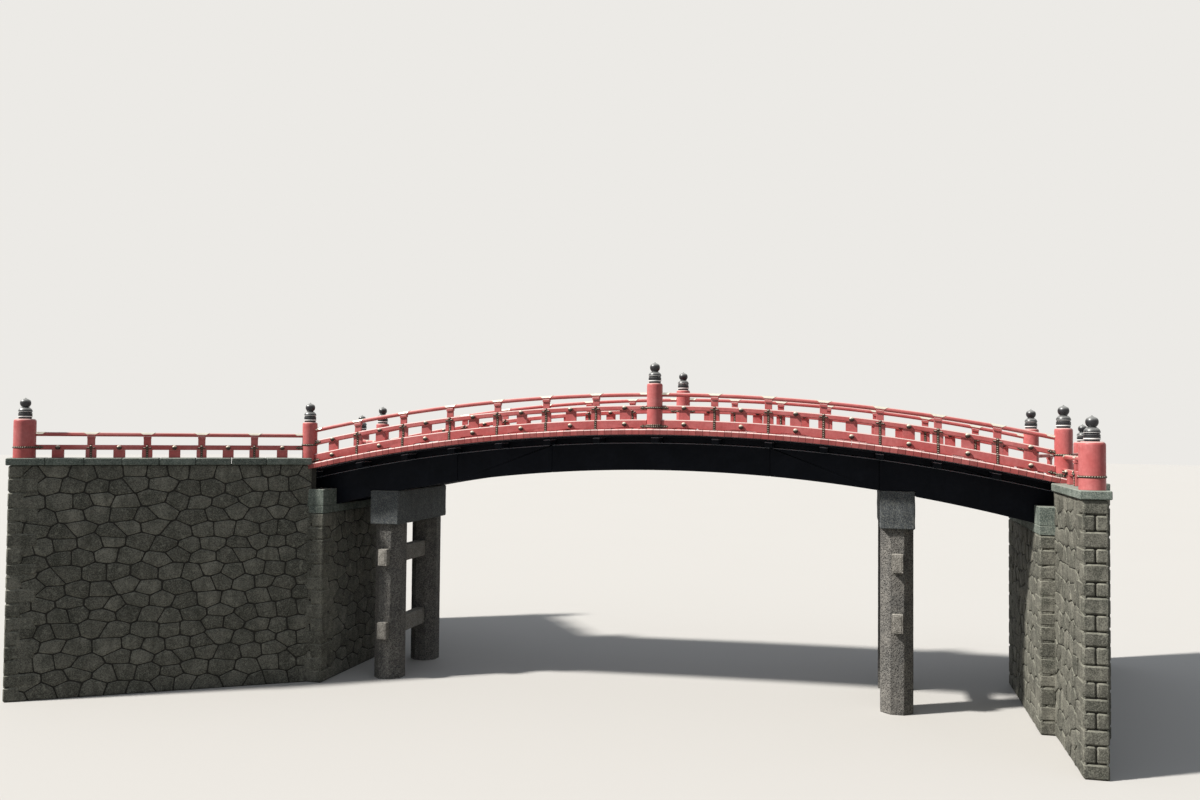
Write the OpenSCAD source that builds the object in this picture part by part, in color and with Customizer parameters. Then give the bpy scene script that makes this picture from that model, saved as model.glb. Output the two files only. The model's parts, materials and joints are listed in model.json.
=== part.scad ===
// Arched lacquered bridge on two stone piers, with railings, onion finials,
// splayed wing railings and masonry abutments.
// +X runs along the bridge, +Y across it away from the near side, +Z up.
// Z = 0 is the level on which the piers and walls stand. Lengths are in millimetres.

/* [Deck] */
// Length of the deck from end to end, measured level
deck_len = 28000; // [27600:50:29000]
// Width of the deck over its red edges
deck_w = 6940; // [6500:10:7600]
// Thickness of the deck planking
deck_t = 187; // [120:1:260]
// Radius of the deck's underside
deck_radius = 61750; // [52000:50:90000]
// Height of the deck's underside at mid-span above the feet
crown_h = 9450; // [9000:10:11000]

/* [Joists and cross beams] */
// Height of the lengthwise joists under the planking
joist_h = 100; // [60:1:140]
// Width of a joist
joist_w = 130; // [90:1:200]
// Number of joists across the width
joist_count = 6; // [4:1:8]
// Height of a cross beam
cross_beam_h = 200; // [140:1:300]
// Width of a cross beam
cross_beam_w = 280; // [200:1:340]
// How far the cross beams stop short of the deck's edge
cross_beam_inset = 370; // [250:1:500]

/* [Girders] */
// Depth from the deck's underside to the girder's underside at mid-span
girder_drop = 1290; // [1100:5:1500]
// Radius of the girder's underside
girder_radius = 53000; // [47000:50:60000]
// Width of one girder
girder_w = 400; // [300:1:520]
// How far the packing on a girder stands back from its faces
packing_inset = 60; // [20:1:90]
// How far the outer girders' faces stand back from the deck's edge
girder_inset = 1080; // [900:10:1200]
// Clear space between a girder's end and the wall behind it
girder_end_gap = 50; // [20:1:80]
// Joint between two lengths of a girder
girder_joint = 0.5; // [0.2:0.1:0.8]

/* [Railing bays] */
// Distance of the rail line from the deck's edge
rail_inset = 300; // [280:5:420]
// Distance from the centre post to the first bay post
centre_bay = 2120; // [1900:5:2200]
// Number of equal bays on each half
bay_count = 5; // [4:1:6]
// Distance from the last bay post to the end post
end_bay = 2010; // [1800:5:2200]
// Distance from the end post's centre to the deck's end
end_post_inset = 620; // [580:5:700]

/* [Rails] */
// Height of the bottom rail over the planking
bottom_rail_h = 334; // [260:1:400]
// Width of the bottom rail
bottom_rail_w = 240; // [190:1:280]
// Length of a drain slot under the bottom rail
drain_slot_len = 1000; // [600:5:1150]
// Height of a drain slot
drain_slot_h = 35; // [20:1:60]
// Opening between the bottom rail and the middle rail
lower_gap = 324; // [260:1:400]
// Height of the middle rail
middle_rail_h = 176; // [130:1:220]
// Width of the middle rail
middle_rail_w = 150; // [110:1:180]
// Opening between the middle rail and the top rail
upper_gap = 303; // [240:1:360]
// Diameter of the round top rail
top_rail_d = 145; // [110:1:180]

/* [Railing posts] */
// Length along the rail of a bay post under the middle rail
bay_post_l = 350; // [280:1:400]
// Length along the rail of a bay post over the middle rail
strut_l = 250; // [190:1:255]
// Thickness of bay posts and panel posts across the rail
post_t = 120; // [90:1:140]
// Length along the rail of a panel post
panel_post_l = 390; // [300:1:450]
// Length along the rail of a bearing block
block_l = 262; // [255:1:320]
// Height of a bearing block below the top rail's underside
block_h = 70; // [50:1:90]
// Width of a bearing block across the rail
block_w = 170; // [150:1:220]
// Depth by which the top rail lies in its bearing block
block_cradle = 22; // [10:1:40]

/* [Metal fittings] */
// Length of the sleeve on the round rail over a bay post
sleeve_l = 420; // [380:5:600]
// Length of the sleeve on the round rail's end at a main post
end_sleeve_l = 300; // [200:5:400]
// Thickness of a sleeve
sleeve_t = 6; // [3:0.5:10]
// How far a sleeve's edges reach below the round rail's middle
sleeve_drop = 12; // [5:1:30]
// Height of the band round a main post at each rail
band_h = 110; // [80:1:150]
// Thickness of the band
band_t = 6; // [3:0.5:10]
// Room between a fitting and the wood under it
fitting_gap = 0.3; // [0.1:0.1:0.6]

/* [Main posts] */
// Depth of the sockets that hold the round rail's ends
rail_socket = 40; // [20:1:80]
// Diameter of the main posts on the bridge
main_post_d = 555; // [460:1:600]
// Height of a main post's top over the deck's underside
main_post_top = 1800; // [1650:5:2000]
// Radius of a post's rounded shoulder
shoulder_r = 80; // [30:1:90]
// Diameter of the thicker posts at the wing ends
wing_post_d = 720; // [600:1:760]
// Height of a wing end post over its coping
wing_post_h = 1366; // [1200:2:1500]

/* [Finials] */
// Height of a finial over its post
finial_h = 751; // [650:1:850]
// How far a finial's drum stands back from the face of a bridge post
finial_setback = 67.5; // [50:0.5:90]
// Diameter of a finial's onion
finial_ball_d = 354; // [300:1:380]
// Height of the drum, up to the rim under the dome
finial_drum_h = 264; // [250:1:290]
// Height of the dome between the drum and the onion
finial_dome_h = 148; // [120:1:170]

/* [Wings] */
// Splay of the near left wing from the bridge's line, in degrees
near_left_splay = 33; // [28:1:45]
// Splay of the far left wing from the bridge's line, in degrees
far_left_splay = 55; // [45:1:65]
// Splay of the near right wing from the bridge's line, in degrees
near_right_splay = 90; // [75:1:90]
// Splay of the far right wing from the bridge's line, in degrees
far_right_splay = 61.5; // [55:0.5:70]
// Equal bays in the near left wing railing
near_left_bays = 3; // [2:1:3]
// Equal bays in the far left wing railing
far_left_bays = 1; // [0:1:2]
// Equal bays in the near right wing railing
near_right_bays = 0; // [0:1:1]
// Equal bays in the far right wing railing
far_right_bays = 1; // [0:1:2]
// Depth of the near left coping's top below the deck's underside at mid-span
near_left_drop = 1020; // [950:5:1200]
// Depth of the far left coping's top below the deck's underside at mid-span
far_left_drop = 1345; // [1200:5:1450]
// Depth of the near right coping's top below the deck's underside at mid-span
near_right_drop = 1430; // [1300:5:1450]
// Depth of the far right coping's top below the deck's underside at mid-span
far_right_drop = 1545; // [1400:5:1550]
// Height of the wing railing over its coping
wing_rail_h = 905; // [850:1:1000]
// Thickness of a coping stone
coping_t = 260; // [180:1:320]
// Width of a coping
coping_w = 860; // [800:5:1000]
// Thickness of a wing wall
wing_wall_t = 700; // [600:5:780]
// Length of wall past the wing end post's centre
wall_end = 520; // [450:5:700]

/* [Abutments] */
// Distance of an abutment's river face from the deck's end
abutment_seat = 1400; // [1200:10:1800]
// Thickness of the wall behind the deck's end
back_wall_t = 700; // [500:10:1000]
// Depth of an abutment's shoulders below the deck's underside at mid-span
shoulder_drop = 2200; // [2000:10:2400]
// Room round a girder in its pocket
pocket_gap = 40; // [20:1:80]
// Joint between the deck's end and the stone round it
deck_joint = 10; // [5:1:20]

/* [Piers] */
// Distance of the left pier from the deck's end
left_pier_inset = 3380; // [2900:10:4500]
// Distance of the right pier from the deck's end
right_pier_inset = 5730; // [4500:10:6500]
// Width of a pier cap along the bridge
cap_w = 1170; // [1100:5:1300]
// Height of a pier cap
cap_h = 1310; // [1000:5:1400]
// How far a pier cap reaches past the girders
cap_overhang = 40; // [20:5:300]
// Chamfer on a pier cap's edges
cap_chamfer = 28; // [15:1:45]
// Width across the flats of a column
column_w = 1100; // [900:5:1100]
// Distance of a column's centre from the end of its cap
column_inset = 720; // [610:10:900]
// Width of a tie stone
tie_w = 390; // [300:5:430]
// Height of a tie stone
tie_h = 645; // [500:5:700]
// How far a tie stone stands out of its column
tie_end = 280; // [200:5:400]
// Depth of the left upper tie below the deck's underside at mid-span
left_upper_tie = 4800; // [4500:10:5000]
// Depth of the left lower tie below the deck's underside at mid-span
left_lower_tie = 7580; // [7000:10:7800]
// Depth of the right upper tie below the deck's underside at mid-span
right_upper_tie = 4305; // [4200:10:4600]
// Depth of the right lower tie below the deck's underside at mid-span
right_lower_tie = 6340; // [6000:10:6800]

/* [Hidden] */

// Facets of round pieces
round_fn = 72;
// The deck's curve is built up of straight lengths of this size
station = 400;

// Colours
lacquer = "#A8403C";
black_lacquer = "#17181D";
bronze = "#4A4640";
gilt = "#C9BFA6";
granite = "#8B8D8C";
masonry = "#5E615A";

// Sides of the bridge: near is towards -Y, far towards +Y
near = -1;
far = 1;
// Ends of the bridge: left is towards -X, right towards +X
left = -1;
right = 1;

// Places along the bridge, measured from mid-span
half_deck = deck_len / 2;
rail_line = deck_w / 2 - rail_inset;
girder_span = deck_w - 2 * girder_inset;
end_post_x = half_deck - end_post_inset;
bay = (end_post_x - centre_bay - end_bay) / bay_count;
bay_post_x = [for (i = [0:bay_count]) centre_bay + i * bay];
post_line = concat([0], bay_post_x, [end_post_x]);
panel_post_x = [for (i = [0:len(post_line) - 2]) (post_line[i] + post_line[i + 1]) / 2];

// Heights over the deck's underside, along the arc
bottom_rail_top = deck_t + bottom_rail_h;
middle_rail_bottom = bottom_rail_top + lower_gap;
middle_rail_top = middle_rail_bottom + middle_rail_h;
top_rail_bottom = middle_rail_top + upper_gap;
top_rail_mid = top_rail_bottom + top_rail_d / 2;
block_bottom = top_rail_bottom - block_h;

// Wings
wing_top_rail_mid = wing_rail_h - top_rail_d / 2;
wing_block_bottom = wing_rail_h - top_rail_d - block_h;
wing_middle_rail_top = wing_block_bottom + block_h - upper_gap;
wing_middle_rail_bottom = wing_middle_rail_top - middle_rail_h;

// Furthest reach of each wing from mid-span, for an origin under the middle of the whole
left_reach = max(wing_reach(left, near), wing_reach(left, far));
right_reach = max(wing_reach(right, near), wing_reach(right, far));
mid_x = (left_reach - right_reach) / 2;

// Abutments
abutment_face = half_deck - abutment_seat;
girder_half = half_deck - girder_end_gap;
cap_len = girder_span + 2 * cap_overhang;
finial_drum_d = main_post_d - 2 * finial_setback;
column_pitch = cap_len - 2 * column_inset;
seat_z = girder_bottom(abutment_face);
shoulder_z = crown_h - shoulder_drop;

// Height of a circle of radius r with its crown at height z, at a distance x from mid-span
function circle_z(x, r, z) = z - r + sqrt(r * r - x * x);
// The same circle built up of straight lengths
function chord_z(x, r, z) =
    let (a = floor(x / station) * station, share = (x - a) / station)
    circle_z(a, r, z) * (1 - share) + circle_z(a + station, r, z) * share;
// Height of the deck's arc raised by h, and of the girders' underside
function arc_z(x, h) = chord_z(x, deck_radius + h, crown_h + h);
function girder_bottom(x) = chord_z(x, girder_radius, crown_h - girder_drop);
// Places at which an arc between x0 and x1 has its corners
function stations(x0, x1) =
    concat([x0], [for (i = [floor(x0 / station) + 1:ceil(x1 / station) - 1]) i * station], [x1]);
function reversed(list) = [for (i = [len(list) - 1:-1:0]) list[i]];
function pier_x(end) = half_deck - (end == left ? left_pier_inset : right_pier_inset);
function tie_drops(end) = end == left ? [left_upper_tie, left_lower_tie] : [right_upper_tie, right_lower_tie];
// Height of a pier cap's top: the girder's underside at the cap's edge nearest mid-span
function cap_top(end) = girder_bottom(pier_x(end) - cap_w / 2);
// Picks the value of one of the four wings
function of_wing(end, side, near_left, far_left, near_right, far_right) =
    end == left ? (side == near ? near_left : far_left) : (side == near ? near_right : far_right);
function wing_splay(end, side) =
    of_wing(end, side, near_left_splay, far_left_splay, near_right_splay, far_right_splay);
function wing_bays(end, side) =
    of_wing(end, side, near_left_bays, far_left_bays, near_right_bays, far_right_bays);
function coping_z(end, side) =
    crown_h - of_wing(end, side, near_left_drop, far_left_drop, near_right_drop, far_right_drop);
// Places of the bay posts along a wing, from the end post's centre, and the wing's length
function wing_bay_x(end, side) = [for (i = [0:wing_bays(end, side)]) end_bay + i * bay];
function wing_len(end, side) = end_bay + wing_bays(end, side) * bay + centre_bay;
// How far a wing's coping reaches from mid-span
function wing_reach(end, side) =
    end_post_x + (wing_len(end, side) + wall_end) * cos(wing_splay(end, side))
    + coping_w / 2 * sin(wing_splay(end, side));

// Outline in the bridge's plane, made as thick as the space from y0 to y1
module upright(points, y0, y1) {
    translate([0, y1, 0])
        rotate([90, 0, 0])
            linear_extrude(height = y1 - y0)
                polygon(points);
}

// Solid from z = 0 up to the deck's arc raised by h
module under_arc(h, x0, x1, y0, y1) {
    upright(concat([for (x = stations(x0, x1)) [x, arc_z(x, h)]], [[x1, 0], [x0, 0]]), y0, y1);
}

// Curved bar that follows the deck's arc between two heights over its underside
module arc_bar(h0, h1, x0, x1, y0, y1) {
    line = stations(x0, x1);
    upright(concat([for (x = line) [x, arc_z(x, h1)]], [for (x = reversed(line)) [x, arc_z(x, h0)]]), y0, y1);
}

// Puts a piece on the rail line of one side
module on_side(side) {
    translate([mid_x, side * rail_line, 0])
        children();
}

// Cylinders of the main posts on one rail line, with room round them, to cut what meets them
module main_post_cores(room = 0) {
    for (x = [-end_post_x, 0, end_post_x])
        translate([x, 0, 0])
            cylinder(d = main_post_d + 2 * room, h = crown_h + main_post_top, $fn = round_fn);
}

// Wing frame: X runs out along the wing from the end post's centre, Z from the coping's top
module on_wing(end, side) {
    translate([mid_x + end * end_post_x, side * rail_line, coping_z(end, side)])
        mirror([end == left ? 1 : 0, 0, 0])
            mirror([0, side == near ? 1 : 0, 0])
                rotate([0, 0, wing_splay(end, side)])
                    children();
}

module deck() {
    color(lacquer)
        translate([mid_x, 0, 0])
            arc_bar(0, deck_t, -half_deck, half_deck, -deck_w / 2, deck_w / 2);
}

module deck_joists() {
    outer = deck_w / 2 - cross_beam_inset - joist_w / 2;
    color(black_lacquer)
        translate([mid_x, 0, 0])
            for (i = [0:joist_count - 1]) {
                y = -outer + i * 2 * outer / (joist_count - 1);
                arc_bar(-joist_h, 0, -half_deck, half_deck, y - joist_w / 2, y + joist_w / 2);
            }
}

module cross_beams() {
    half = deck_w / 2 - cross_beam_inset;
    places = concat([0], bay_post_x, [end_post_x]);
    color(black_lacquer)
        translate([mid_x, 0, 0])
            for (i = [-len(places) + 1:len(places) - 1]) {
                x = sign(i) * places[abs(i)];
                arc_bar(-joist_h - cross_beam_h, -joist_h,
                        x - cross_beam_w / 2, x + cross_beam_w / 2, -half, half);
            }
}

// One girder, with its middle at y, cut level where it bears on piers and abutments.
// It is built up of lengths that meet under the second and the fourth bay posts.
module girder(y) {
    y0 = y - girder_w / 2;
    line = stations(-girder_half, girder_half);
    top = [for (x = line) [x, arc_z(x, -joist_h - cross_beam_h)]];
    bottom = [for (x = reversed(line)) [x, girder_bottom(x)]];
    color(black_lacquer)
        translate([mid_x, 0, 0])
            difference() {
                upright(concat(top, bottom), y0, y0 + girder_w);
                for (end = [left, right]) {
                    girder_notch(end * pier_x(end), cap_w / 2, cap_top(end), y0);
                    girder_notch(end * half_deck, abutment_seat, seat_z, y0);
                    for (i = [1, 3])
                        girder_notch(end * bay_post_x[i], girder_joint / 2, crown_h, y0);
                }
            }
}

// Space below a level seat, cut out of a girder
module girder_notch(x, half, z, y0) {
    translate([x - half, y0 - 10, 0])
        cube([2 * half, girder_w + 20, z]);
}

// Packing timbers that carry the deck on the girders between the cross beams
module girder_packing() {
    places = concat([0], bay_post_x, [end_post_x]);
    half = girder_w / 2 - packing_inset;
    color(black_lacquer)
        translate([mid_x, 0, 0])
            for (line = [-1:1])
                for (i = [0:len(places) - 1])
                    for (end = [left, right]) {
                        y = line * (girder_span - girder_w) / 2;
                        x0 = places[i] + cross_beam_w / 2;
                        x1 = i < len(places) - 1 ? places[i + 1] - cross_beam_w / 2 : girder_half;
                        arc_bar(-joist_h - cross_beam_h, 0, min(end * x0, end * x1), max(end * x0, end * x1),
                                y - half, y + half);
                    }
}

module bottom_rail(side) {
    color(lacquer)
        on_side(side)
            difference() {
                arc_bar(deck_t, bottom_rail_top, -end_post_x, end_post_x, -bottom_rail_w / 2, bottom_rail_w / 2);
                main_post_cores();
                for (x = panel_post_x)
                    for (end = [left, right])
                        arc_bar(deck_t - drain_slot_h, deck_t + drain_slot_h,
                                end * x - drain_slot_len / 2, end * x + drain_slot_len / 2,
                                -bottom_rail_w, bottom_rail_w);
            }
}

module middle_rail(side) {
    color(lacquer)
        on_side(side)
            difference() {
                arc_bar(middle_rail_bottom, middle_rail_top, -end_post_x, end_post_x, -middle_rail_w / 2, middle_rail_w / 2);
                main_post_cores();
            }
}

// Round bar that follows the arc of the top rail between x0 and x1
module rail_bar(x0, x1) {
    r = deck_radius + top_rail_mid;
    start = acos(x1 / r);
    translate([0, 0, crown_h - deck_radius])
        rotate([90, 0, 0])
            rotate([0, 0, start])
                rotate_extrude(angle = acos(x0 / r) - start, $fn = 256)
                    translate([r, 0])
                        circle(d = top_rail_d, $fn = round_fn);
}

// The two halves of the round rail, from socket to socket
module top_rail_bars() {
    reach = main_post_d / 2 - rail_socket;
    rail_bar(-end_post_x + reach, -reach);
    rail_bar(reach, end_post_x - reach);
}

module top_rail(side) {
    color(lacquer)
        on_side(side)
            top_rail_bars();
}

// Outline of a sleeve's section: the upper half of a tube round the rail, X up
module sleeve_section() {
    r = top_rail_d / 2 + fitting_gap;
    difference() {
        circle(r = r + sleeve_t, $fn = round_fn);
        circle(r = r, $fn = round_fn);
        translate([-2 * r, -2 * r])
            square([2 * r - sleeve_drop, 4 * r]);
    }
}

// Sleeve over the curved round rail between x0 and x1
module rail_sleeve(x0, x1) {
    r = deck_radius + top_rail_mid;
    start = acos(x1 / r);
    translate([0, 0, crown_h - deck_radius])
        rotate([90, 0, 0])
            rotate([0, 0, start])
                rotate_extrude(angle = acos(x0 / r) - start, $fn = 256)
                    translate([r, 0])
                        sleeve_section();
}

module rail_sleeves(side) {
    reach = main_post_d / 2 + end_sleeve_l;
    color(gilt)
        on_side(side) {
            for (x = bay_post_x)
                for (end = [left, right])
                    rail_sleeve(end * x - sleeve_l / 2, end * x + sleeve_l / 2);
            difference() {
                for (x = [[-end_post_x, -end_post_x + reach], [-reach, 0], [0, reach], [end_post_x - reach, end_post_x]])
                    rail_sleeve(x[0], x[1]);
                main_post_cores(fitting_gap);
            }
        }
}

module bay_posts(side) {
    color(lacquer)
        on_side(side)
            for (x = bay_post_x)
                for (end = [left, right]) {
                    arc_bar(bottom_rail_top, middle_rail_bottom,
                            end * x - bay_post_l / 2, end * x + bay_post_l / 2, -post_t / 2, post_t / 2);
                    arc_bar(middle_rail_top, block_bottom,
                            end * x - strut_l / 2, end * x + strut_l / 2, -post_t / 2, post_t / 2);
                }
}

module panel_posts(side) {
    color(lacquer)
        on_side(side)
            for (x = panel_post_x)
                for (end = [left, right])
                    arc_bar(bottom_rail_top, middle_rail_bottom,
                            end * x - panel_post_l / 2, end * x + panel_post_l / 2, -post_t / 2, post_t / 2);
}

module bearing_blocks(side) {
    color(lacquer)
        on_side(side)
            for (post = bay_post_x)
                for (end = [left, right]) {
                    x = end * post;
                    difference() {
                        arc_bar(block_bottom, top_rail_bottom + block_cradle,
                                x - block_l / 2, x + block_l / 2, -block_w / 2, block_w / 2);
                        rail_bar(x - block_l, x + block_l);
                    }
                }
}

// Round post with a rounded shoulder, from z = 0 up
module round_post(d, h) {
    rotate_extrude($fn = round_fn)
        union() {
            square([d / 2 - shoulder_r, h]);
            square([d / 2, h - shoulder_r]);
            translate([d / 2 - shoulder_r, h - shoulder_r])
                circle(r = shoulder_r, $fn = round_fn);
        }
}

module main_posts(side) {
    foot = arc_z(end_post_x + main_post_d, 0) - 100;
    color(lacquer)
        on_side(side)
            difference() {
                for (x = [-end_post_x, 0, end_post_x])
                    translate([x, 0, foot])
                        round_post(main_post_d, arc_z(abs(x), 0) + main_post_top - foot);
                under_arc(deck_t, -half_deck, half_deck, -main_post_d, main_post_d);
                top_rail_bars();
            }
}

// Room for a wing's two rails, with the sleeve, in the bands round the post that they start from
module wing_rail_slots(end, side) {
    on_wing(end, side) {
        translate([0, 0, wing_top_rail_mid])
            rotate([0, 90, 0])
                cylinder(r = top_rail_d / 2 + sleeve_t + 2 * fitting_gap, h = main_post_d, $fn = round_fn);
        translate([0, -middle_rail_w / 2 - fitting_gap, wing_middle_rail_bottom - fitting_gap])
            cube([main_post_d, middle_rail_w + 2 * fitting_gap, middle_rail_h + 2 * fitting_gap]);
    }
}

// Bands round the main posts, level with the bottom rail and the middle rail.
// The rails are let into the posts between the two halves of a band.
module post_bands(side) {
    r = main_post_d / 2 + fitting_gap;
    color(bronze)
        difference() {
            on_side(side)
                for (x = [-end_post_x, 0, end_post_x])
                    for (level = [(deck_t + bottom_rail_top) / 2, (middle_rail_bottom + middle_rail_top) / 2])
                        difference() {
                            translate([x, 0, arc_z(abs(x), 0) + level - band_h / 2])
                                rotate_extrude($fn = round_fn)
                                    translate([r, 0])
                                        square([band_t, band_h]);
                            for (end = [left, right])
                                translate([x + (end == left ? -main_post_d : 0),
                                           -bottom_rail_w / 2 - fitting_gap, 0])
                                    cube([main_post_d, bottom_rail_w + 2 * fitting_gap, 2 * crown_h]);
                        }
            for (end = [left, right])
                wing_rail_slots(end, side);
        }
}

// Section of an onion finial from the axis out: recess, ring, band, groove and rim of the drum,
// then the dome, the neck and the onion with its point
module finial_section() {
    r = finial_drum_d / 2;
    ball = finial_ball_d / 2;
    ball_z = finial_drum_h + finial_dome_h + 0.8 * ball;
    h = finial_drum_h;
    square([r * 0.93, h]);
    translate([0, h * 0.235])
        square([r, h * 0.145]);
    translate([0, h * 0.405])
        square([r * 0.98, h * 0.34]);
    translate([0, h * 0.935])
        square([r * 1.02, h * 0.065]);
    polygon(concat([[0, h]],
                   [for (a = [0:8.8:61.6]) [r * 1.01 * cos(a), h + finial_dome_h * sin(a) / sin(61.6)]],
                   [[0, h + finial_dome_h]]));
    intersection() {
        translate([0, ball_z])
            circle(r = ball, $fn = round_fn);
        translate([0, ball_z - 0.81 * ball])
            square([2 * ball, 1.38 * ball]);
    }
    polygon([[0, ball_z], [ball * 0.82, ball_z + ball * 0.57], [ball * 0.62, ball_z + ball * 0.71],
             [ball * 0.4, ball_z + ball * 0.82], [ball * 0.2, ball_z + ball * 0.92],
             [ball * 0.08, finial_h - ball * 0.09], [0, finial_h]]);
}

module finial() {
    rotate_extrude($fn = round_fn)
        finial_section();
}

module finials(side) {
    color(bronze)
        on_side(side)
            for (x = [-end_post_x, 0, end_post_x])
                translate([x, 0, arc_z(abs(x), 0) + main_post_top])
                    finial();
}

// Cylinders of the posts at both ends of a wing, to cut what meets them
module wing_post_cores(end, side) {
    translate([0, 0, -wing_post_h])
        cylinder(d = main_post_d, h = 3 * wing_post_h, $fn = round_fn);
    translate([wing_len(end, side), 0, -wing_post_h])
        cylinder(d = wing_post_d, h = 3 * wing_post_h, $fn = round_fn);
}

module wing_rails(end) {
    color(lacquer)
        for (side = [near, far])
            on_wing(end, side)
                difference() {
                    length = wing_len(end, side);
                    union() {
                        translate([0, 0, wing_top_rail_mid])
                            rotate([0, 90, 0])
                                cylinder(d = top_rail_d, h = length, $fn = round_fn);
                        translate([0, -middle_rail_w / 2, wing_middle_rail_bottom])
                            cube([length, middle_rail_w, middle_rail_h]);
                    }
                    wing_post_cores(end, side);
                }
}

// Straight sleeve over a wing's round rail
module wing_sleeve(x0, x1) {
    translate([x0, 0, wing_top_rail_mid])
        rotate([0, 90, 0])
            rotate([0, 0, 180])
                linear_extrude(height = x1 - x0)
                    sleeve_section();
}

module wing_sleeves() {
    color(gilt)
        for (end = [left, right])
            for (side = [near, far])
                on_wing(end, side) {
                    start = main_post_d / 2 + fitting_gap;
                    finish = wing_len(end, side) - wing_post_d / 2 - fitting_gap;
                    for (x = wing_bay_x(end, side))
                        wing_sleeve(x - sleeve_l / 2, x + sleeve_l / 2);
                    wing_sleeve(start, start + end_sleeve_l);
                    wing_sleeve(finish - end_sleeve_l, finish);
                }
}

module wing_posts(end) {
    color(lacquer)
        for (side = [near, far])
            on_wing(end, side) {
                places = wing_bay_x(end, side);
                line = concat([0], places, [wing_len(end, side)]);
                for (x = places) {
                    translate([x - bay_post_l / 2, -post_t / 2, 0])
                        cube([bay_post_l, post_t, wing_middle_rail_bottom]);
                    translate([x, 0, 0])
                        wing_strut();
                }
                for (i = [0:len(line) - 2])
                    translate([(line[i] + line[i + 1] - panel_post_l) / 2, -post_t / 2, 0])
                        cube([panel_post_l, post_t, wing_middle_rail_bottom]);
            }
}

// Short post over the middle rail, with the block that carries the round rail
module wing_strut() {
    difference() {
        union() {
            translate([-strut_l / 2, -post_t / 2, wing_middle_rail_top])
                cube([strut_l, post_t, wing_block_bottom - wing_middle_rail_top]);
            translate([-block_l / 2, -block_w / 2, wing_block_bottom])
                cube([block_l, block_w, block_h + block_cradle]);
        }
        translate([-block_l, 0, wing_top_rail_mid])
            rotate([0, 90, 0])
                cylinder(d = top_rail_d, h = 2 * block_l, $fn = round_fn);
    }
}

module wing_end_posts() {
    color(lacquer)
        for (end = [left, right])
            for (side = [near, far])
                on_wing(end, side)
                    translate([wing_len(end, side), 0, 0])
                        round_post(wing_post_d, wing_post_h);
}

module wing_finials() {
    color(bronze)
        for (end = [left, right])
            for (side = [near, far])
                on_wing(end, side)
                    translate([wing_len(end, side), 0, wing_post_h])
                        finial();
}

// Space of the deck and the abutment's block, to cut what meets them
module bridge_footprint(end, gap) {
    length = abutment_seat + back_wall_t;
    below = 100;
    translate([mid_x + (end == left ? -abutment_face - length : abutment_face), -deck_w / 2 - gap, -below])
        cube([length, deck_w + 2 * gap, crown_h + below]);
}

module copings(end) {
    color(granite)
        difference() {
            for (side = [near, far])
                on_wing(end, side)
                    translate([0, -coping_w / 2, -coping_t])
                        cube([wing_len(end, side) + wall_end, coping_w, coping_t]);
            bridge_footprint(end, deck_joint);
        }
}

module wing_walls(end) {
    color(masonry)
        difference() {
            for (side = [near, far])
                on_wing(end, side)
                    translate([0, -wing_wall_t / 2, -coping_z(end, side)])
                        cube([wing_len(end, side) + wall_end - (coping_w - wing_wall_t) / 2,
                              wing_wall_t, coping_z(end, side) - coping_t]);
            bridge_footprint(end, 0);
        }
}

module abutment(end) {
    deck_end_z = arc_z(half_deck, deck_t);
    pocket_half = girder_span / 2 + pocket_gap;
    color(masonry)
        translate([mid_x, 0, 0])
            mirror([end == left ? 1 : 0, 0, 0])
                difference() {
                    union() {
                        translate([abutment_face, -deck_w / 2, 0])
                            cube([abutment_seat, deck_w, shoulder_z]);
                        translate([half_deck, -deck_w / 2, 0])
                            cube([back_wall_t, deck_w, deck_end_z]);
                    }
                    translate([abutment_face - 10, -pocket_half, seat_z])
                        cube([abutment_seat + 10, 2 * pocket_half, crown_h]);
                    translate([abutment_face, -deck_w, arc_z(half_deck, -joist_h - cross_beam_h) - deck_joint])
                        cube([abutment_seat + deck_joint, 2 * deck_w, crown_h]);
                }
}

module pier_cap(end) {
    color(granite)
        translate([mid_x + end * pier_x(end), 0, cap_top(end) - cap_h])
            chamfered_beam(cap_w, cap_len, cap_h, cap_chamfer);
}

// Beam along Y with chamfered edges all round its two ends
module chamfered_beam(w, length, h, c) {
    intersection() {
        translate([-w / 2, -length / 2, 0])
            cube([w, length, h]);
        translate([0, 0, h / 2])
            rotate([45, 0, 0])
                cube([2 * w, (length + h) / sqrt(2) - c * sqrt(2), (length + h) / sqrt(2) - c * sqrt(2)], center = true);
    }
}

// Eight-sided column with a flat towards each side, standing on z = 0
module column(h) {
    rotate([0, 0, 22.5])
        cylinder(d = column_w / cos(22.5), h = h, $fn = 8);
}

module tie_stones(end) {
    length = column_pitch + column_w + 2 * tie_end;
    for (drop = tie_drops(end))
        translate([mid_x + end * pier_x(end) - tie_w / 2, -length / 2, crown_h - drop - tie_h / 2])
            cube([tie_w, length, tie_h]);
}

module pier_columns(end) {
    color(granite)
        difference() {
            for (side = [near, far])
                translate([mid_x + end * pier_x(end), side * column_pitch / 2, 0])
                    column(cap_top(end) - cap_h);
            tie_stones(end);
        }
}

module pier_ties(end) {
    color(granite)
        tie_stones(end);
}

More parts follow.
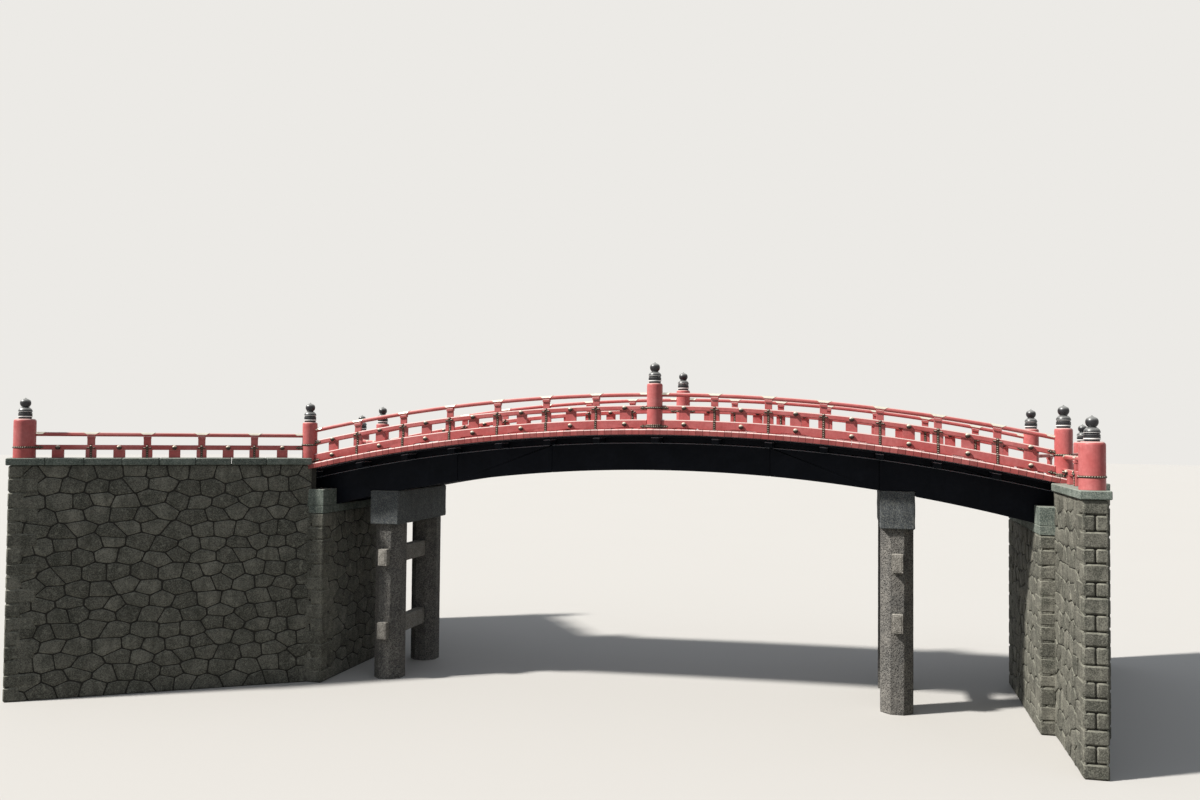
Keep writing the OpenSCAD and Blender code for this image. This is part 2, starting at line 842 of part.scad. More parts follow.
deck();
deck_joists();
cross_beams();
girder(-(girder_span - girder_w) / 2);  // girder_near
girder(0);  // girder_middle
girder((girder_span - girder_w) / 2);  // girder_far
girder_packing();
bottom_rail(near);  // bottom_rail_near
bottom_rail(far);  // bottom_rail_far
middle_rail(near);  // middle_rail_near
middle_rail(far);  // middle_rail_far
top_rail(near);  // top_rail_near
top_rail(far);  // top_rail_far
bay_posts(near);  // bay_posts_near
bay_posts(far);  // bay_posts_far
panel_posts(near);  // panel_posts_near
panel_posts(far);  // panel_posts_far
bearing_blocks(near);  // bearing_blocks_near
bearing_blocks(far);  // bearing_blocks_far
rail_sleeves(near);  // rail_sleeves_near
rail_sleeves(far);  // rail_sleeves_far
main_posts(near);  // main_posts_near
main_posts(far);  // main_posts_far
post_bands(near);  // post_bands_near
post_bands(far);  // post_bands_far
finials(near);  // finials_near
finials(far);  // finials_far
wing_rails(left);  // wing_rails_left
wing_rails(right);  // wing_rails_right
wing_sleeves();
wing_posts(left);  // wing_posts_left
wing_posts(right);  // wing_posts_right
wing_end_posts();
wing_finials();
copings(left);  // copings_left
copings(right);  // copings_right
wing_walls(left);  // wing_walls_left
wing_walls(right);  // wing_walls_right
abutment(left);  // abutment_left
abutment(right);  // abutment_right
pier_cap(left);  // pier_cap_left
pier_cap(right);  // pier_cap_right
pier_columns(left);  // pier_columns_left
pier_columns(right);  // pier_columns_right
pier_ties(left);  // pier_ties_left
pier_ties(right);  // pier_ties_right
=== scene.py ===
"""Looks of the arched lacquered bridge: planks, fittings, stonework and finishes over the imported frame."""

import json
import logging
import math
import random
from dataclasses import dataclass, field, replace
from enum import Enum
from functools import cached_property
from typing import Any, Callable, ClassVar, Iterable, Optional, Sequence, Union

import bmesh
import bpy
from mathutils import Matrix, Vector, noise

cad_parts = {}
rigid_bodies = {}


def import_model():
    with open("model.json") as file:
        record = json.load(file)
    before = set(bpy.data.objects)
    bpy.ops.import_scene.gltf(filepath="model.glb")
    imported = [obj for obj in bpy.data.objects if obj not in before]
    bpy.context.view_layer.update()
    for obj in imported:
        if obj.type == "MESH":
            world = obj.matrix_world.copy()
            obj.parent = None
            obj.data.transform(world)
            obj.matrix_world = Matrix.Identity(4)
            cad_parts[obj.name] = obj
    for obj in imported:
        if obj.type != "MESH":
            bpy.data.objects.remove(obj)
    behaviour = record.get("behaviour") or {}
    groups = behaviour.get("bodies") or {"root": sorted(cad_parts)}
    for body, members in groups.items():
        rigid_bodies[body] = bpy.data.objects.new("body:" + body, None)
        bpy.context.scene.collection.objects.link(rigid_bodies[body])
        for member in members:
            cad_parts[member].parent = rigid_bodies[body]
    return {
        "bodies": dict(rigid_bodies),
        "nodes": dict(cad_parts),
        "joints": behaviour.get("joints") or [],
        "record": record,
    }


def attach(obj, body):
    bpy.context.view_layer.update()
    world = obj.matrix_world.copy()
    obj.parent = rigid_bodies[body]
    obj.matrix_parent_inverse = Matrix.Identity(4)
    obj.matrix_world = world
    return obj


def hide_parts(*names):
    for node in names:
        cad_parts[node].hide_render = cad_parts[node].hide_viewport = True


log = logging.getLogger("bridge")

Pair = tuple[float, float]
Point = Sequence[float]
Spot = tuple[Vector, Vector, Vector]
Place = Callable[[float, float, float], Vector]
Socket = bpy.types.NodeSocket
UP = Vector((0.0, 0.0, 1.0))
ACROSS = Vector((0.0, 1.0, 0.0))


class Side(Enum):
    """Sides of the bridge: the near one is the one in the photograph."""

    NEAR = -1
    FAR = 1


class End(Enum):
    """Ends of the bridge along X."""

    LEFT = -1
    RIGHT = 1


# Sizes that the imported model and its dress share


@dataclass(frozen=True)
class BridgeLine:
    """Sizes of the solids in metres, measured along X from mid-span and up from the deck's underside."""

    deck_len: float = 28.0
    deck_w: float = 6.94
    deck_t: float = 0.187
    radius: float = 61.75
    crown: float = 9.45
    rail_line: float = 3.17
    centre_bay: float = 2.12
    bay: float = 1.85
    bays: int = 5
    end_bay: float = 2.01
    end_post: float = 13.38
    bottom_rail: Pair = (0.187, 0.521)
    bottom_rail_w: float = 0.24
    middle_rail: Pair = (0.845, 1.021)
    middle_rail_w: float = 0.15
    top_rail_mid: float = 1.3965
    top_rail_d: float = 0.145
    post_t: float = 0.12
    # How far middle rails stand out of the solids, and posts back, so that rails shade the posts
    relief: float = 0.02
    main_post_d: float = 0.555
    main_post_top: float = 1.8
    wing_post_d: float = 0.72
    wing_post_top: float = 1.366
    wing_rail_h: float = 0.905
    wing_opening: float = 0.303
    coping_t: float = 0.26
    coping_w: float = 0.86
    wall_t: float = 0.7
    wall_end: float = 0.52
    abutment_seat: float = 1.4
    back_wall_t: float = 0.7
    shoulder_drop: float = 2.2
    girder_drop: float = 1.29
    girder_radius: float = 53.0
    girder_half_span: float = 2.39

    def height(self, x: float, h: float = 0.0) -> float:
        """Height of the deck's arc raised by h, at x from mid-span."""
        return self.crown - self.radius + math.sqrt((self.radius + h) ** 2 - x * x)

    def girder_bottom(self, x: float) -> float:
        """Height of the girders' underside at x from mid-span."""
        r = self.girder_radius
        return self.crown - self.girder_drop - r + math.sqrt(r * r - x * x)

    @cached_property
    def mid_x(self) -> float:
        """X of mid-span in the row's frame, whose origin is under the middle of the whole."""
        left, right = (max(Wing(self, side, end).reach for side in Side) for end in End)
        return (left - right) / 2


@dataclass(frozen=True)
class Run:
    """One side's railing: x along it from mid-span, out away from the walkway, h up along the arc."""

    line: BridgeLine
    side: Side
    ways: ClassVar[tuple[int, ...]] = (-1, 1)

    @property
    def places(self) -> list[float]:
        """Places of a round post, the bay posts after it and the next round post."""
        line = self.line
        return [0.0, *(line.centre_bay + i * line.bay for i in range(line.bays + 1)), line.end_post]

    @property
    def posts(self) -> list[float]:
        """Places of the bay posts."""
        return [way * x for way in self.ways for x in self.places[1:-1]]

    @property
    def panel_posts(self) -> list[float]:
        """Places of the panel posts, halfway between the others."""
        return [way * ((a + b) / 2) for way in self.ways for a, b in zip(self.places, self.places[1:])]

    @property
    def round_posts(self) -> list[float]:
        """Places of the round posts that belong to the railing."""
        return [-self.line.end_post, 0.0, self.line.end_post]

    @property
    def round_r(self) -> float:
        """Radius of those posts."""
        return self.line.main_post_d / 2

    @property
    def ends(self) -> list[tuple[float, float, int]]:
        """Where rails meet round posts: the post's place and radius, and the way the rail leaves it."""
        r, end = self.round_r, self.line.end_post
        return [(-end, r, 1), (0.0, r, -1), (0.0, r, 1), (end, r, -1)]

    @property
    def rails(self) -> dict[str, tuple[float, float, float]]:
        """Lowest and highest edge and half the width of each squared rail."""
        line = self.line
        return {"bottom": (*line.bottom_rail, line.bottom_rail_w / 2),
                "middle": (*line.middle_rail, line.middle_rail_w / 2 + line.relief)}

    @property
    def levels(self) -> tuple[float, float, float]:
        """Height on which posts stand, height of the round rail's centre, and half a post's thickness."""
        return self.line.bottom_rail[1], self.line.top_rail_mid, self.line.post_t / 2 - self.line.relief

    def point(self, x: float, out: float, h: float) -> Vector:
        """Point in the row's frame."""
        line = self.line
        return Vector((line.mid_x + x, self.side.value * (line.rail_line + out), line.height(x, h)))

    def up(self, x: float) -> Vector:
        """Direction square to the rails."""
        tilt = math.asin(x / self.line.radius)
        return Vector((math.sin(tilt), 0.0, math.cos(tilt)))

    @property
    def outward(self) -> Vector:
        """Direction away from the walkway."""
        return ACROSS * self.side.value

    def spot(self, x: float, face: int, out: float, h: float) -> Spot:
        """Spot for a fitting on the face away from the walkway, or with face -1 on the one towards it."""
        return self.point(x, face * out, h), self.outward * face, self.up(x)


# Splay in degrees, number of equal bays and the coping's drop below the crown, for each wing
WINGS: dict[tuple[End, Side], tuple[float, int, float]] = {
    (End.LEFT, Side.NEAR): (33.0, 3, 1.02),
    (End.LEFT, Side.FAR): (55.0, 1, 1.345),
    (End.RIGHT, Side.NEAR): (90.0, 0, 1.43),
    (End.RIGHT, Side.FAR): (61.5, 1, 1.545),
}


@dataclass(frozen=True)
class Wing(Run):
    """A wing with its railing: x out along it from the bridge's end post, h up from the coping's top."""

    end: End
    ways: ClassVar[tuple[int, ...]] = (1,)

    @property
    def splay(self) -> float:
        """Angle from the bridge's line, in radians."""
        return math.radians(WINGS[self.end, self.side][0])

    @property
    def coping_top(self) -> float:
        """Height of the coping's top above the feet."""
        return self.line.crown - WINGS[self.end, self.side][2]

    @property
    def places(self) -> list[float]:
        """Places of the bridge's end post, the bay posts and the wing's own end post."""
        line = self.line
        posts = [line.end_bay + i * line.bay for i in range(WINGS[self.end, self.side][1] + 1)]
        return [0.0, *posts, posts[-1] + line.centre_bay]

    @property
    def length(self) -> float:
        """Distance from the bridge's end post to the wing's."""
        return self.places[-1]

    @property
    def reach(self) -> float:
        """How far past mid-span the end of the coping comes."""
        line = self.line
        along = (self.length + line.wall_end) * math.cos(self.splay)
        return line.end_post + along + line.coping_w / 2 * math.sin(self.splay)

    @property
    def round_posts(self) -> list[float]:
        """Place of the wing's own end post."""
        return [self.length]

    @property
    def round_r(self) -> float:
        """Radius of that post."""
        return self.line.wing_post_d / 2

    @property
    def ends(self) -> list[tuple[float, float, int]]:
        """Where rails meet round posts."""
        return [(0.0, self.line.main_post_d / 2, 1), (self.length, self.round_r, -1)]

    @property
    def rails(self) -> dict[str, tuple[float, float, float]]:
        """Lowest and highest edge and half the width of the one squared rail."""
        line = self.line
        top = line.wing_rail_h - line.top_rail_d - line.wing_opening
        return {"middle": (top - (line.middle_rail[1] - line.middle_rail[0]), top, line.middle_rail_w / 2)}

    @property
    def levels(self) -> tuple[float, float, float]:
        """Height on which posts stand, height of the round rail's centre, and half a post's thickness."""
        return 0.0, self.line.wing_rail_h - self.line.top_rail_d / 2, self.line.post_t / 2

    def turn(self, x: float, y: float, z: float) -> Vector:
        """Direction in the row's frame of a direction in the wing's."""
        c, s = math.cos(self.splay), math.sin(self.splay)
        return Vector(((x * c - y * s) * self.end.value, (x * s + y * c) * self.side.value, z))

    def point(self, x: float, out: float, h: float) -> Vector:
        """Point in the row's frame."""
        foot = self.line.mid_x + self.end.value * self.line.end_post, self.side.value * self.line.rail_line
        return Vector((*foot, self.coping_top)) + self.turn(x, out, h)

    def up(self, x: float) -> Vector:
        """Upward direction, the same all along."""
        return UP

    @property
    def outward(self) -> Vector:
        """Direction away from the walkway."""
        return self.turn(0.0, 1.0, 0.0)


# Nodes and finishes

# Kinds of node that are used often
MATHS, RANGE, RANDOM = "ShaderNodeMath", "ShaderNodeMapRange", "FunctionNodeRandomValue"
ON_POINTS = "GeometryNodeInstanceOnPoints"


def linear(code: str) -> tuple[float, ...]:
    """Turns an sRGB hex colour such as "#A8403C" into linear red, green and blue, with an alpha of one."""
    parts = [int(code[i:i + 2], 16) / 255 for i in (1, 3, 5)]
    return (*(c / 12.92 if c <= 0.04045 else ((c + 0.055) / 1.055) ** 2.4 for c in parts), 1.0)


@dataclass
class Nodes:
    """A node tree that gets nodes."""

    tree: bpy.types.NodeTree

    def feed(self, socket: Socket, value: Any) -> None:
        """Links a socket to another that feeds it, or sets its value, which may be a hex colour."""
        if isinstance(value, Socket):
            self.tree.links.new(value, socket)
        else:
            socket.default_value = linear(value) if str(value).startswith("#") else value

    def add(self, kind: str, inputs: Any = (), output: Union[int, str] = 0, **settings: Any) -> Socket:
        """Adds a node with its settings and links.

        Args:
            kind: the node's type name.
            inputs: what feeds its sockets, in their order or by their names or numbers.
            output: the output socket that is wanted.
            settings: properties of the node.

        Returns:
            That output socket.
        """
        node = self.tree.nodes.new(kind)
        for key, value in settings.items():
            setattr(node, key, value)
        for key, value in inputs.items() if isinstance(inputs, dict) else enumerate(inputs):
            self.feed(node.inputs[key], value)
        return node.outputs[output]

    def sums(self, value: Any, *steps: tuple[str, Any]) -> Socket:
        """Puts a value through one sum after another, each an operation with its second value."""
        for operation, other in steps:
            value = self.add(MATHS, (value, other), operation=operation)
        return value


class Surface(Nodes):
    """A material whose colour is laid on in layers, patterned on object coordinates in metres."""

    def __init__(self, name: str, ground: str) -> None:
        """Starts the material with the hex colour of its ground."""
        self.material = bpy.data.materials.new(name)
        self.material.use_nodes = True
        super().__init__(self.material.node_tree)
        self.coords = self.add("ShaderNodeTexCoord", output="Object")
        self.colour: Any = ground

    def patches(self, scale: float, detail: float, limits: Point = (), stretch: Point = (),
                rough: float = 0.55, warp: float = 0.0) -> Socket:
        """Noise with patches about 1/scale metres wide.

        Args:
            scale: patches to a metre.
            detail: octaves of finer noise.
            limits: the noise at which the factor starts and is full, and its values there if not 0 and 1.
            stretch: scale of the coordinates along each axis, for grain and streaks.
            rough: weight of the finer noise.
            warp: how far the patches wander.

        Returns:
            The factor, or the plain noise where no limits are given.
        """
        vector = self.coords
        if stretch:
            vector = self.add("ShaderNodeMapping", {"Vector": vector, "Scale": stretch})
        inputs = {"Vector": vector, "Scale": scale, "Detail": detail, "Roughness": rough, "Distortion": warp}
        fac = self.add("ShaderNodeTexNoise", inputs)
        return self.add(RANGE, (fac, *limits)) if limits else fac

    def upward(self, *limits: float) -> Socket:
        """Factor that grows as a face turns up, over the limits of its upright part."""
        normal = self.add("ShaderNodeNewGeometry", output="Normal")
        return self.add(RANGE, (self.add("ShaderNodeSeparateXYZ", (normal,), "Z"), *limits))

    def layer(self, colour: str, share: float, mask: Socket) -> None:
        """Lays a share of a colour over what is there, where the mask says."""
        fac = self.sums(mask, ("MULTIPLY", share))
        self.colour = self.add("ShaderNodeMix", {0: fac, 6: self.colour, 7: colour}, 2, data_type="RGBA")

    def shade(self, spread: float) -> None:
        """Makes the colour lighter or darker by the piece's tone attribute, nought where it has none."""
        tone = self.add("ShaderNodeAttribute", output="Fac", attribute_name="tone")
        value = self.sums(tone, ("MULTIPLY", spread), ("ADD", 1.0))
        self.colour = self.add("ShaderNodeHueSaturation", {"Color": self.colour, "Value": value})

    def close(self, bumps: Iterable[tuple[Socket, float, float]] = (), **values: Any) -> bpy.types.Material:
        """Finishes the material.

        Args:
            bumps: heights, each with its strength and its depth in metres, one upon the other.
            values: the shader's other sockets, named with _ for a space.

        Returns:
            The material.
        """
        for height, strength, depth in bumps:
            inputs = {"Height": height, "Strength": strength, "Distance": depth}
            if "Normal" in values:
                inputs["Normal"] = values["Normal"]
            values["Normal"] = self.add("ShaderNodeBump", inputs)
        for key, value in {"Base_Color": self.colour, **values}.items():
            self.feed(self.tree.nodes["Principled BSDF"].inputs[key.replace("_", " ")], value)
        return self.material


@dataclass(frozen=True)
class Lacquer:
    """Lacquer brushed over planed cypress, a soft sheen that the weather has dulled and streaked."""

    name: str
    slot: str
    body: str
    deep: str
    faded: str
    # The pale tint and its shares on upper edges and on tops paint highlights there, along with dust and
    # rubbing
    dust: str
    bleached: float
    gloss: float
    rubbed: Pair = (0.12, 0.34)
    dusty: float = 0.9

    @cached_property
    def material(self) -> bpy.types.Material:
        """The material, built when it is first used."""
        s = Surface(self.name, self.body)
        # Patches of fading about a metre wide, mottling about a hand wide
        s.layer(self.faded, 1.0, s.patches(0.9, 5, (0.36, 0.66), warp=0.6))
        mottle = s.patches(9.0, 6, (0.3, 0.75))
        s.layer(self.deep, 0.45, mottle)
        # Rain streaks 30 mm wide that run down the faces
        s.layer(self.deep, 0.25, s.patches(3.0, 5, (0.52, 0.78), (9.0, 9.0, 0.7)))
        # Upper edges are palest and faces that look up are paled: partly rubbing, sun and dust, partly a
        # painted highlight of the light that falls on them
        level = s.upward(0.89, 0.95, 0.0, self.bleached - self.dusty)
        s.layer(self.dust, 1.0, s.sums(s.upward(*self.rubbed, 0.0, self.dusty), ("ADD", level)))
        s.shade(0.35)
        # Wood grain and brush marks drawn along the bridge, 12 mm apart so that they show
        lines = s.patches(4.0, 6, stretch=(1.2, 22.0, 22.0))
        rough = s.patches(5.0, 5, (0.3, 0.75, 0.34, 0.56))
        bumps = [(lines, 0.25, 0.004), (mottle, 0.12, 0.003)]
        return s.close(bumps, Roughness=rough, Specular_IOR_Level=self.gloss)


@dataclass(frozen=True)
class DressedStone:
    """Granite or andesite picked to a face: crystals, tool marks, lichen, and stains that run down."""

    name: str
    slot: str
    light: str
    dark: str
    # The dark tint marks real stains, dark crystals and chisel strokes, and is also the painted shade in the
    # pits
    stain: str
    stain_share: float
    dust: str
    pits: float = 0.0
    strokes: float = 0.0
    lichen: float = 0.0
    rise: float = 0.5

    @cached_property
    def material(self) -> bpy.types.Material:
        """The material, built when it is first used."""
        s = Surface(self.name, self.dark)
        clouds = s.patches(1.6, 7, (0.33, 0.68), rough=0.62, warp=0.4)
        s.layer(self.light, 1.0, clouds)
        s.shade(0.7)
        # Crystals are drawn 25 mm across: the real 5 mm ones are too fine to show
        crystals = s.add("ShaderNodeTexVoronoi", {"Vector": s.coords, "Scale": 42.0}, "Color", feature="F1")
        grains = s.add("ShaderNodeRGBToBW", (crystals,))
        s.layer(self.dust, 0.4, s.add(RANGE, (grains, 0.55, 0.7)))
        s.layer(self.stain, 0.5, s.add(RANGE, (grains, 0.28, 0.4, 1.0, 0.0)))
        # Pits of the pick 60 mm apart, drawn coarser than the real 20 mm so that they show, and darkened
        # inside as painted shade
        cells = s.add("ShaderNodeTexVoronoi", {"Vector": s.coords, "Scale": 17.0}, "Distance", feature="F1")
        pits = s.add(RANGE, (cells, 0.12, 0.42, 1.0, 0.0))
        s.layer(self.stain, self.pits, pits)
        # Slanting strokes of the chisel, a hand apart
        slant = s.add("ShaderNodeMapping", {"Vector": s.coords, "Rotation": (0.7, 0.7, 0.0)})
        inputs = {"Vector": slant, "Scale": 4.0, "Distortion": 9.0, "Detail": 3.0, "Detail Scale": 1.5}
        waves = s.add("ShaderNodeTexWave", inputs, "Fac")
        s.layer(self.stain, self.strokes, s.add(RANGE, (waves, 0.0, 0.3, 1.0, 0.0)))
        s.layer(self.stain, self.stain_share, s.patches(1.3, 6, (0.46, 0.7), (3.0, 3.0, 0.6)))
        s.layer(self.dust, self.lichen, s.patches(5.5, 7, (0.57, 0.64), rough=0.7))
        s.layer(self.dust, 0.6, s.upward(0.3, 0.9))
        bumps = [(s.patches(7.0, 5), self.rise, 0.02), (s.patches(46.0, 3, rough=0.7), 0.6, 0.012),
                 (pits, self.pits, -0.035), (waves, self.strokes, 0.01)]
        rough = s.add(RANGE, (clouds, 0.0, 1.0, 0.78, 0.92))
        return s.close(bumps, Roughness=rough, Specular_IOR_Level=0.25)


@dataclass(frozen=True)
class AgedMetal:
    """Cast or beaten copper alloy: bright on top where rain runs and as a painted highlight, with patina in
    hollows, and patina with painted shade underneath.
    """

    name: str
    slot: str
    bright: str
    patina: str
    share: float
    washed: Pair
    rough: Pair
    metal: float = 0.9

    @cached_property
    def material(self) -> bpy.types.Material:
        """The material, built when it is first used."""
        s = Surface(self.name, self.bright)
        # Blotches a hand wide
        blotch = s.patches(11.0, 7, rough=0.65, warp=0.5)
        limits = (0.5 - self.share * 0.3, 0.74 - self.share * 0.2, 0.0, self.share)
        # Patina in blotches, and over faces that turn down a dark painted shade, whose limits are the lit and
        # washed slopes
        patina_and_shade_mask = s.sums(s.add(RANGE, (blotch, *limits)), ("MAXIMUM", s.upward(*self.washed)))
        s.layer(self.patina, 1.0, patina_and_shade_mask)
        rough = s.add(RANGE, (patina_and_shade_mask, 0.0, 1.0, *self.rough))
        metal = s.add(RANGE, (patina_and_shade_mask, 0.0, 1.0, self.metal, self.metal * 0.4))
        return s.close([(blotch, 0.2, 0.003)], Roughness=rough, Metallic=metal)


Finish = Union[Lacquer, DressedStone, AgedMetal]

# Red lacquer of iron oxide in drying oil, on cypress
VERMILION = Lacquer("red_lacquer_on_cypress", "lacquer", "#C05D5B", "#994644", "#CC7977", "#F0D8D0",
                    bleached=0.3, gloss=0.25)
# The same on round rails and posts, pale only along the top, where that pale is a painted highlight
TURNED = replace(VERMILION, name="red_lacquer_on_round_cypress", dust="#EBC9C0", bleached=0.6,
                 rubbed=(0.55, 0.85))
# The same on the planks, scuffed by feet and darker on their sawn ends, with a pale painted highlight on the
# chamfers of those ends
WALKED = Lacquer("trodden_red_lacquer", "lacquer", "#9E4E4C", "#773834", "#AF6663", "#EED4CC",
                 bleached=0.04, gloss=0.15)
# Lacquer with soot black, dull, on the girders and beams, with a pale painted highlight on every face and
# edge that looks up
BLACK = Lacquer("black_lacquer_on_cypress", "black_lacquer", "#101319", "#0A0C10", "#1B1E25", "#A3A5AD",
                bleached=1.0, gloss=0.05)
# Cap granite, dressed with slanting strokes of the chisel, and darker than the columns' granite: partly its
# own tone, partly painted shade of the deck above
CAP_GRANITE = DressedStone("chiselled_cap_granite", "pier_granite", "#616567", "#404447", "#2D3032", 0.35,
                           "#96978F", strokes=0.35, lichen=0.25)
# The same granite on the columns, pecked all over with the pick, the pits darkened as painted shade
COLUMN_GRANITE = DressedStone("pecked_column_granite", "pier_granite", "#807C76", "#595856", "#3B3938", 0.25,
                              "#A8A49B", pits=0.8, lichen=0.2, rise=0.9)
# Fresher granite of the tie stones, split and left rough
TIE_GRANITE = DressedStone("split_tie_granite", "pier_granite", "#97928A", "#747069", "#524F4A", 0.2,
                           "#BCB8AE", pits=0.45, rise=1.0)
# Coping blocks with a grey-green weathered skin
COPING = DressedStone("weathered_coping_stone", "coping_stone", "#7B837B", "#545D57", "#3F4741", 0.4,
                      "#A9AEA2", pits=0.2, lichen=0.35, rise=0.4)
# Split walling stones, andesite, dark and uneven, with lichen
WALLING = DressedStone("split_walling_stone", "masonry", "#7D7A70", "#4C4C45", "#32332C", 0.45, "#9A998B",
                       lichen=0.5, rise=0.9)
# Clay and small stones packed behind the facing, seen only in the joints
PACKING = DressedStone("joint_packing", "masonry", "#34322D", "#23221F", "#1C1B19", 0.3, "#3E3C36")
# Gilded copper sleeves, worn pale
GILT = AgedMetal("worn_gilt_copper", "gilt", "#F8F2E2", "#C4B792", 0.3, (0.3, -0.6), (0.3, 0.45), 0.6)
# Rims of the finials, tinned and worn white
RIM = AgedMetal("tinned_bronze_rim", "gilt", "#FFFDF8", "#CFCCC4", 0.1, (0.0, -0.9), (0.35, 0.5), 0.1)
# Cast bronze finials, nearly black, with pale crowns where rain runs that also stand as a painted highlight,
# and painted shade below
BRONZE = AgedMetal("cast_bronze_patina", "bronze", "#B4B5B3", "#2A2A2D", 0.3, (0.95, 0.2), (0.3, 0.45), 0.8)
# Beaten bronze straps and plates, dark brown
STRAP = AgedMetal("beaten_bronze_strap", "bronze", "#5A4836", "#261A13", 0.7, (0.8, -0.4), (0.45, 0.6), 0.5)
# Cast bosses and beads, polished by hands and rain, pale on top as a painted highlight and dark on their
# lower halves as painted shade
BOSS = AgedMetal("cast_brass_boss", "bronze", "#F2E6D0", "#2A1A12", 0.2, (0.7, 0.05), (0.4, 0.6), 0.25)


# Meshes


def link(name: str, data: Any) -> bpy.types.Object:
    """Puts a mesh, camera or lamp into the scene as an object at the origin."""
    item = bpy.data.objects.new(name, data)
    bpy.context.scene.collection.objects.link(item)
    return item


def soften(mesh: bpy.types.Mesh, angle: float) -> None:
    """Smooth shading, but for edges sharper than an angle in degrees."""
    mesh.shade_smooth()
    mesh.set_sharp_from_angle(angle=math.radians(angle))


def finish_piece(name: str, mesh: bpy.types.Mesh, finish: Finish, replaced: Sequence[str] = ()) -> None:
    """Gives a finished mesh to the frame as a piece, and reports it.

    Args:
        name: the piece's name.
        mesh: its mesh, with its place in it.
        finish: its finish, which names the record's material slot; it is not used.
        replaced: CAD nodes that it stands for.
    """
    piece = link(name, mesh)
    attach(piece, "root")
    if replaced:
        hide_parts(*replaced)
    mesh.calc_loop_triangles()
    log.info("%s: %d triangles", name, len(mesh.loop_triangles))


def arc(middle: Pair, reach: Pair, start: float, stop: float, steps: int) -> list[Pair]:
    """Corners round a middle, from one angle in degrees to another, at its reach either way."""
    turns = [math.radians(start + (stop - start) * i / steps) for i in range(steps + 1)]
    return [(middle[0] + reach[0] * math.cos(a), middle[1] + reach[1] * math.sin(a)) for a in turns]


@dataclass
class Shape:
    """Corners and faces gathered for one mesh, with a tone, light or dark, for each face."""

    verts: list[Vector] = field(default_factory=list)
    faces: list[tuple[int, ...]] = field(default_factory=list)
    tones: list[float] = field(default_factory=list)

    def add(self, verts: Iterable[Point], faces: list[Sequence[int]], tone: float = 0.0) -> None:
        """Adds a form's corners and its faces numbered from the first, turned over if they point inwards."""
        points = [Vector(v) for v in verts]
        middle = sum(points, Vector()) / len(points)
        arms = [p - middle for p in points]
        volume = sum(arms[f[0]].dot(arms[b].cross(arms[c])) for f in faces for b, c in zip(f[1:], f[2:]))
        base, step = len(self.verts), -1 if volume < 0 else 1
        self.verts += points
        self.faces += [tuple(base + i for i in f[::step]) for f in faces]
        self.tones += [tone] * len(faces)

    def skin(self, rings: Sequence[Sequence[Point]], capped: bool = False, tone: float = 0.0) -> None:
        """Adds a skin over rings of corners.

        Args:
            rings: as many corners in each, or one where the skin closes in a point.
            capped: whether a face closes the first and the last ring.
            tone: light or dark of the faces.
        """
        count = max(len(ring) for ring in rings)
        verts, loops = [], []
        for ring in rings:
            loops.append([len(verts) + i % len(ring) for i in range(count)])
            verts += ring
        faces = [tuple(dict.fromkeys(face)) for low, high in zip(loops, loops[1:])
                 for face in zip(low, low[1:] + low[:1], high[1:] + high[:1], high)]
        self.add(verts, faces + [loops[0][::-1], loops[-1]] if capped else faces, tone)

    def turn(self, profile: Sequence[Pair], count: int, foot: Point = (0.0, 0.0, 0.0)) -> "Shape":
        """Adds a form turned round an upright axis.

        Args:
            profile: radius and height of each corner; a radius of nought closes the form.
            count: facets round the axis.
            foot: where the axis stands.

        Returns:
            This shape.
        """
        turns = [2 * math.pi * i / count for i in range(count)]
        self.skin([[Vector((r * math.cos(a), r * math.sin(a), z)) + Vector(foot)
                    for a in (turns if r else turns[:1])] for r, z in profile])
        return self

    def box(self, place: Place, low: Point, high: Point) -> None:
        """Adds a plain box between two corners, put in place by a function."""
        base = ((low[0], low[1]), (high[0], low[1]), (high[0], high[1]), (low[0], high[1]))
        self.skin([[place(x, y, z) for x, y in base] for z in (low[2], high[2])], capped=True)

    def mesh(self, name: str, angle: float) -> bpy.types.Mesh:
        """The gathered mesh, smooth but for edges sharper than an angle in degrees."""
        mesh = bpy.data.meshes.new(name)
        mesh.from_pydata(self.verts, [], self.faces)
        if any(self.tones):
            mesh.attributes.new("tone", "FLOAT", "FACE").data.foreach_set("value", self.tones)
        soften(mesh, angle)
        return mesh

    def piece(self, name: str, finish: Finish, *replaced: str, angle: float = 35.0) -> None:
        """Hands in the gathered mesh.

        Args:
            name: the piece's name.
            finish: its finish.
            replaced: CAD nodes that it stands for.
            angle: edges sharper than this, in degrees, stay sharp.
        """
        mesh = self.mesh(name, angle)
        mesh.materials.append(finish.material)
        finish_piece(name, mesh, finish, replaced)


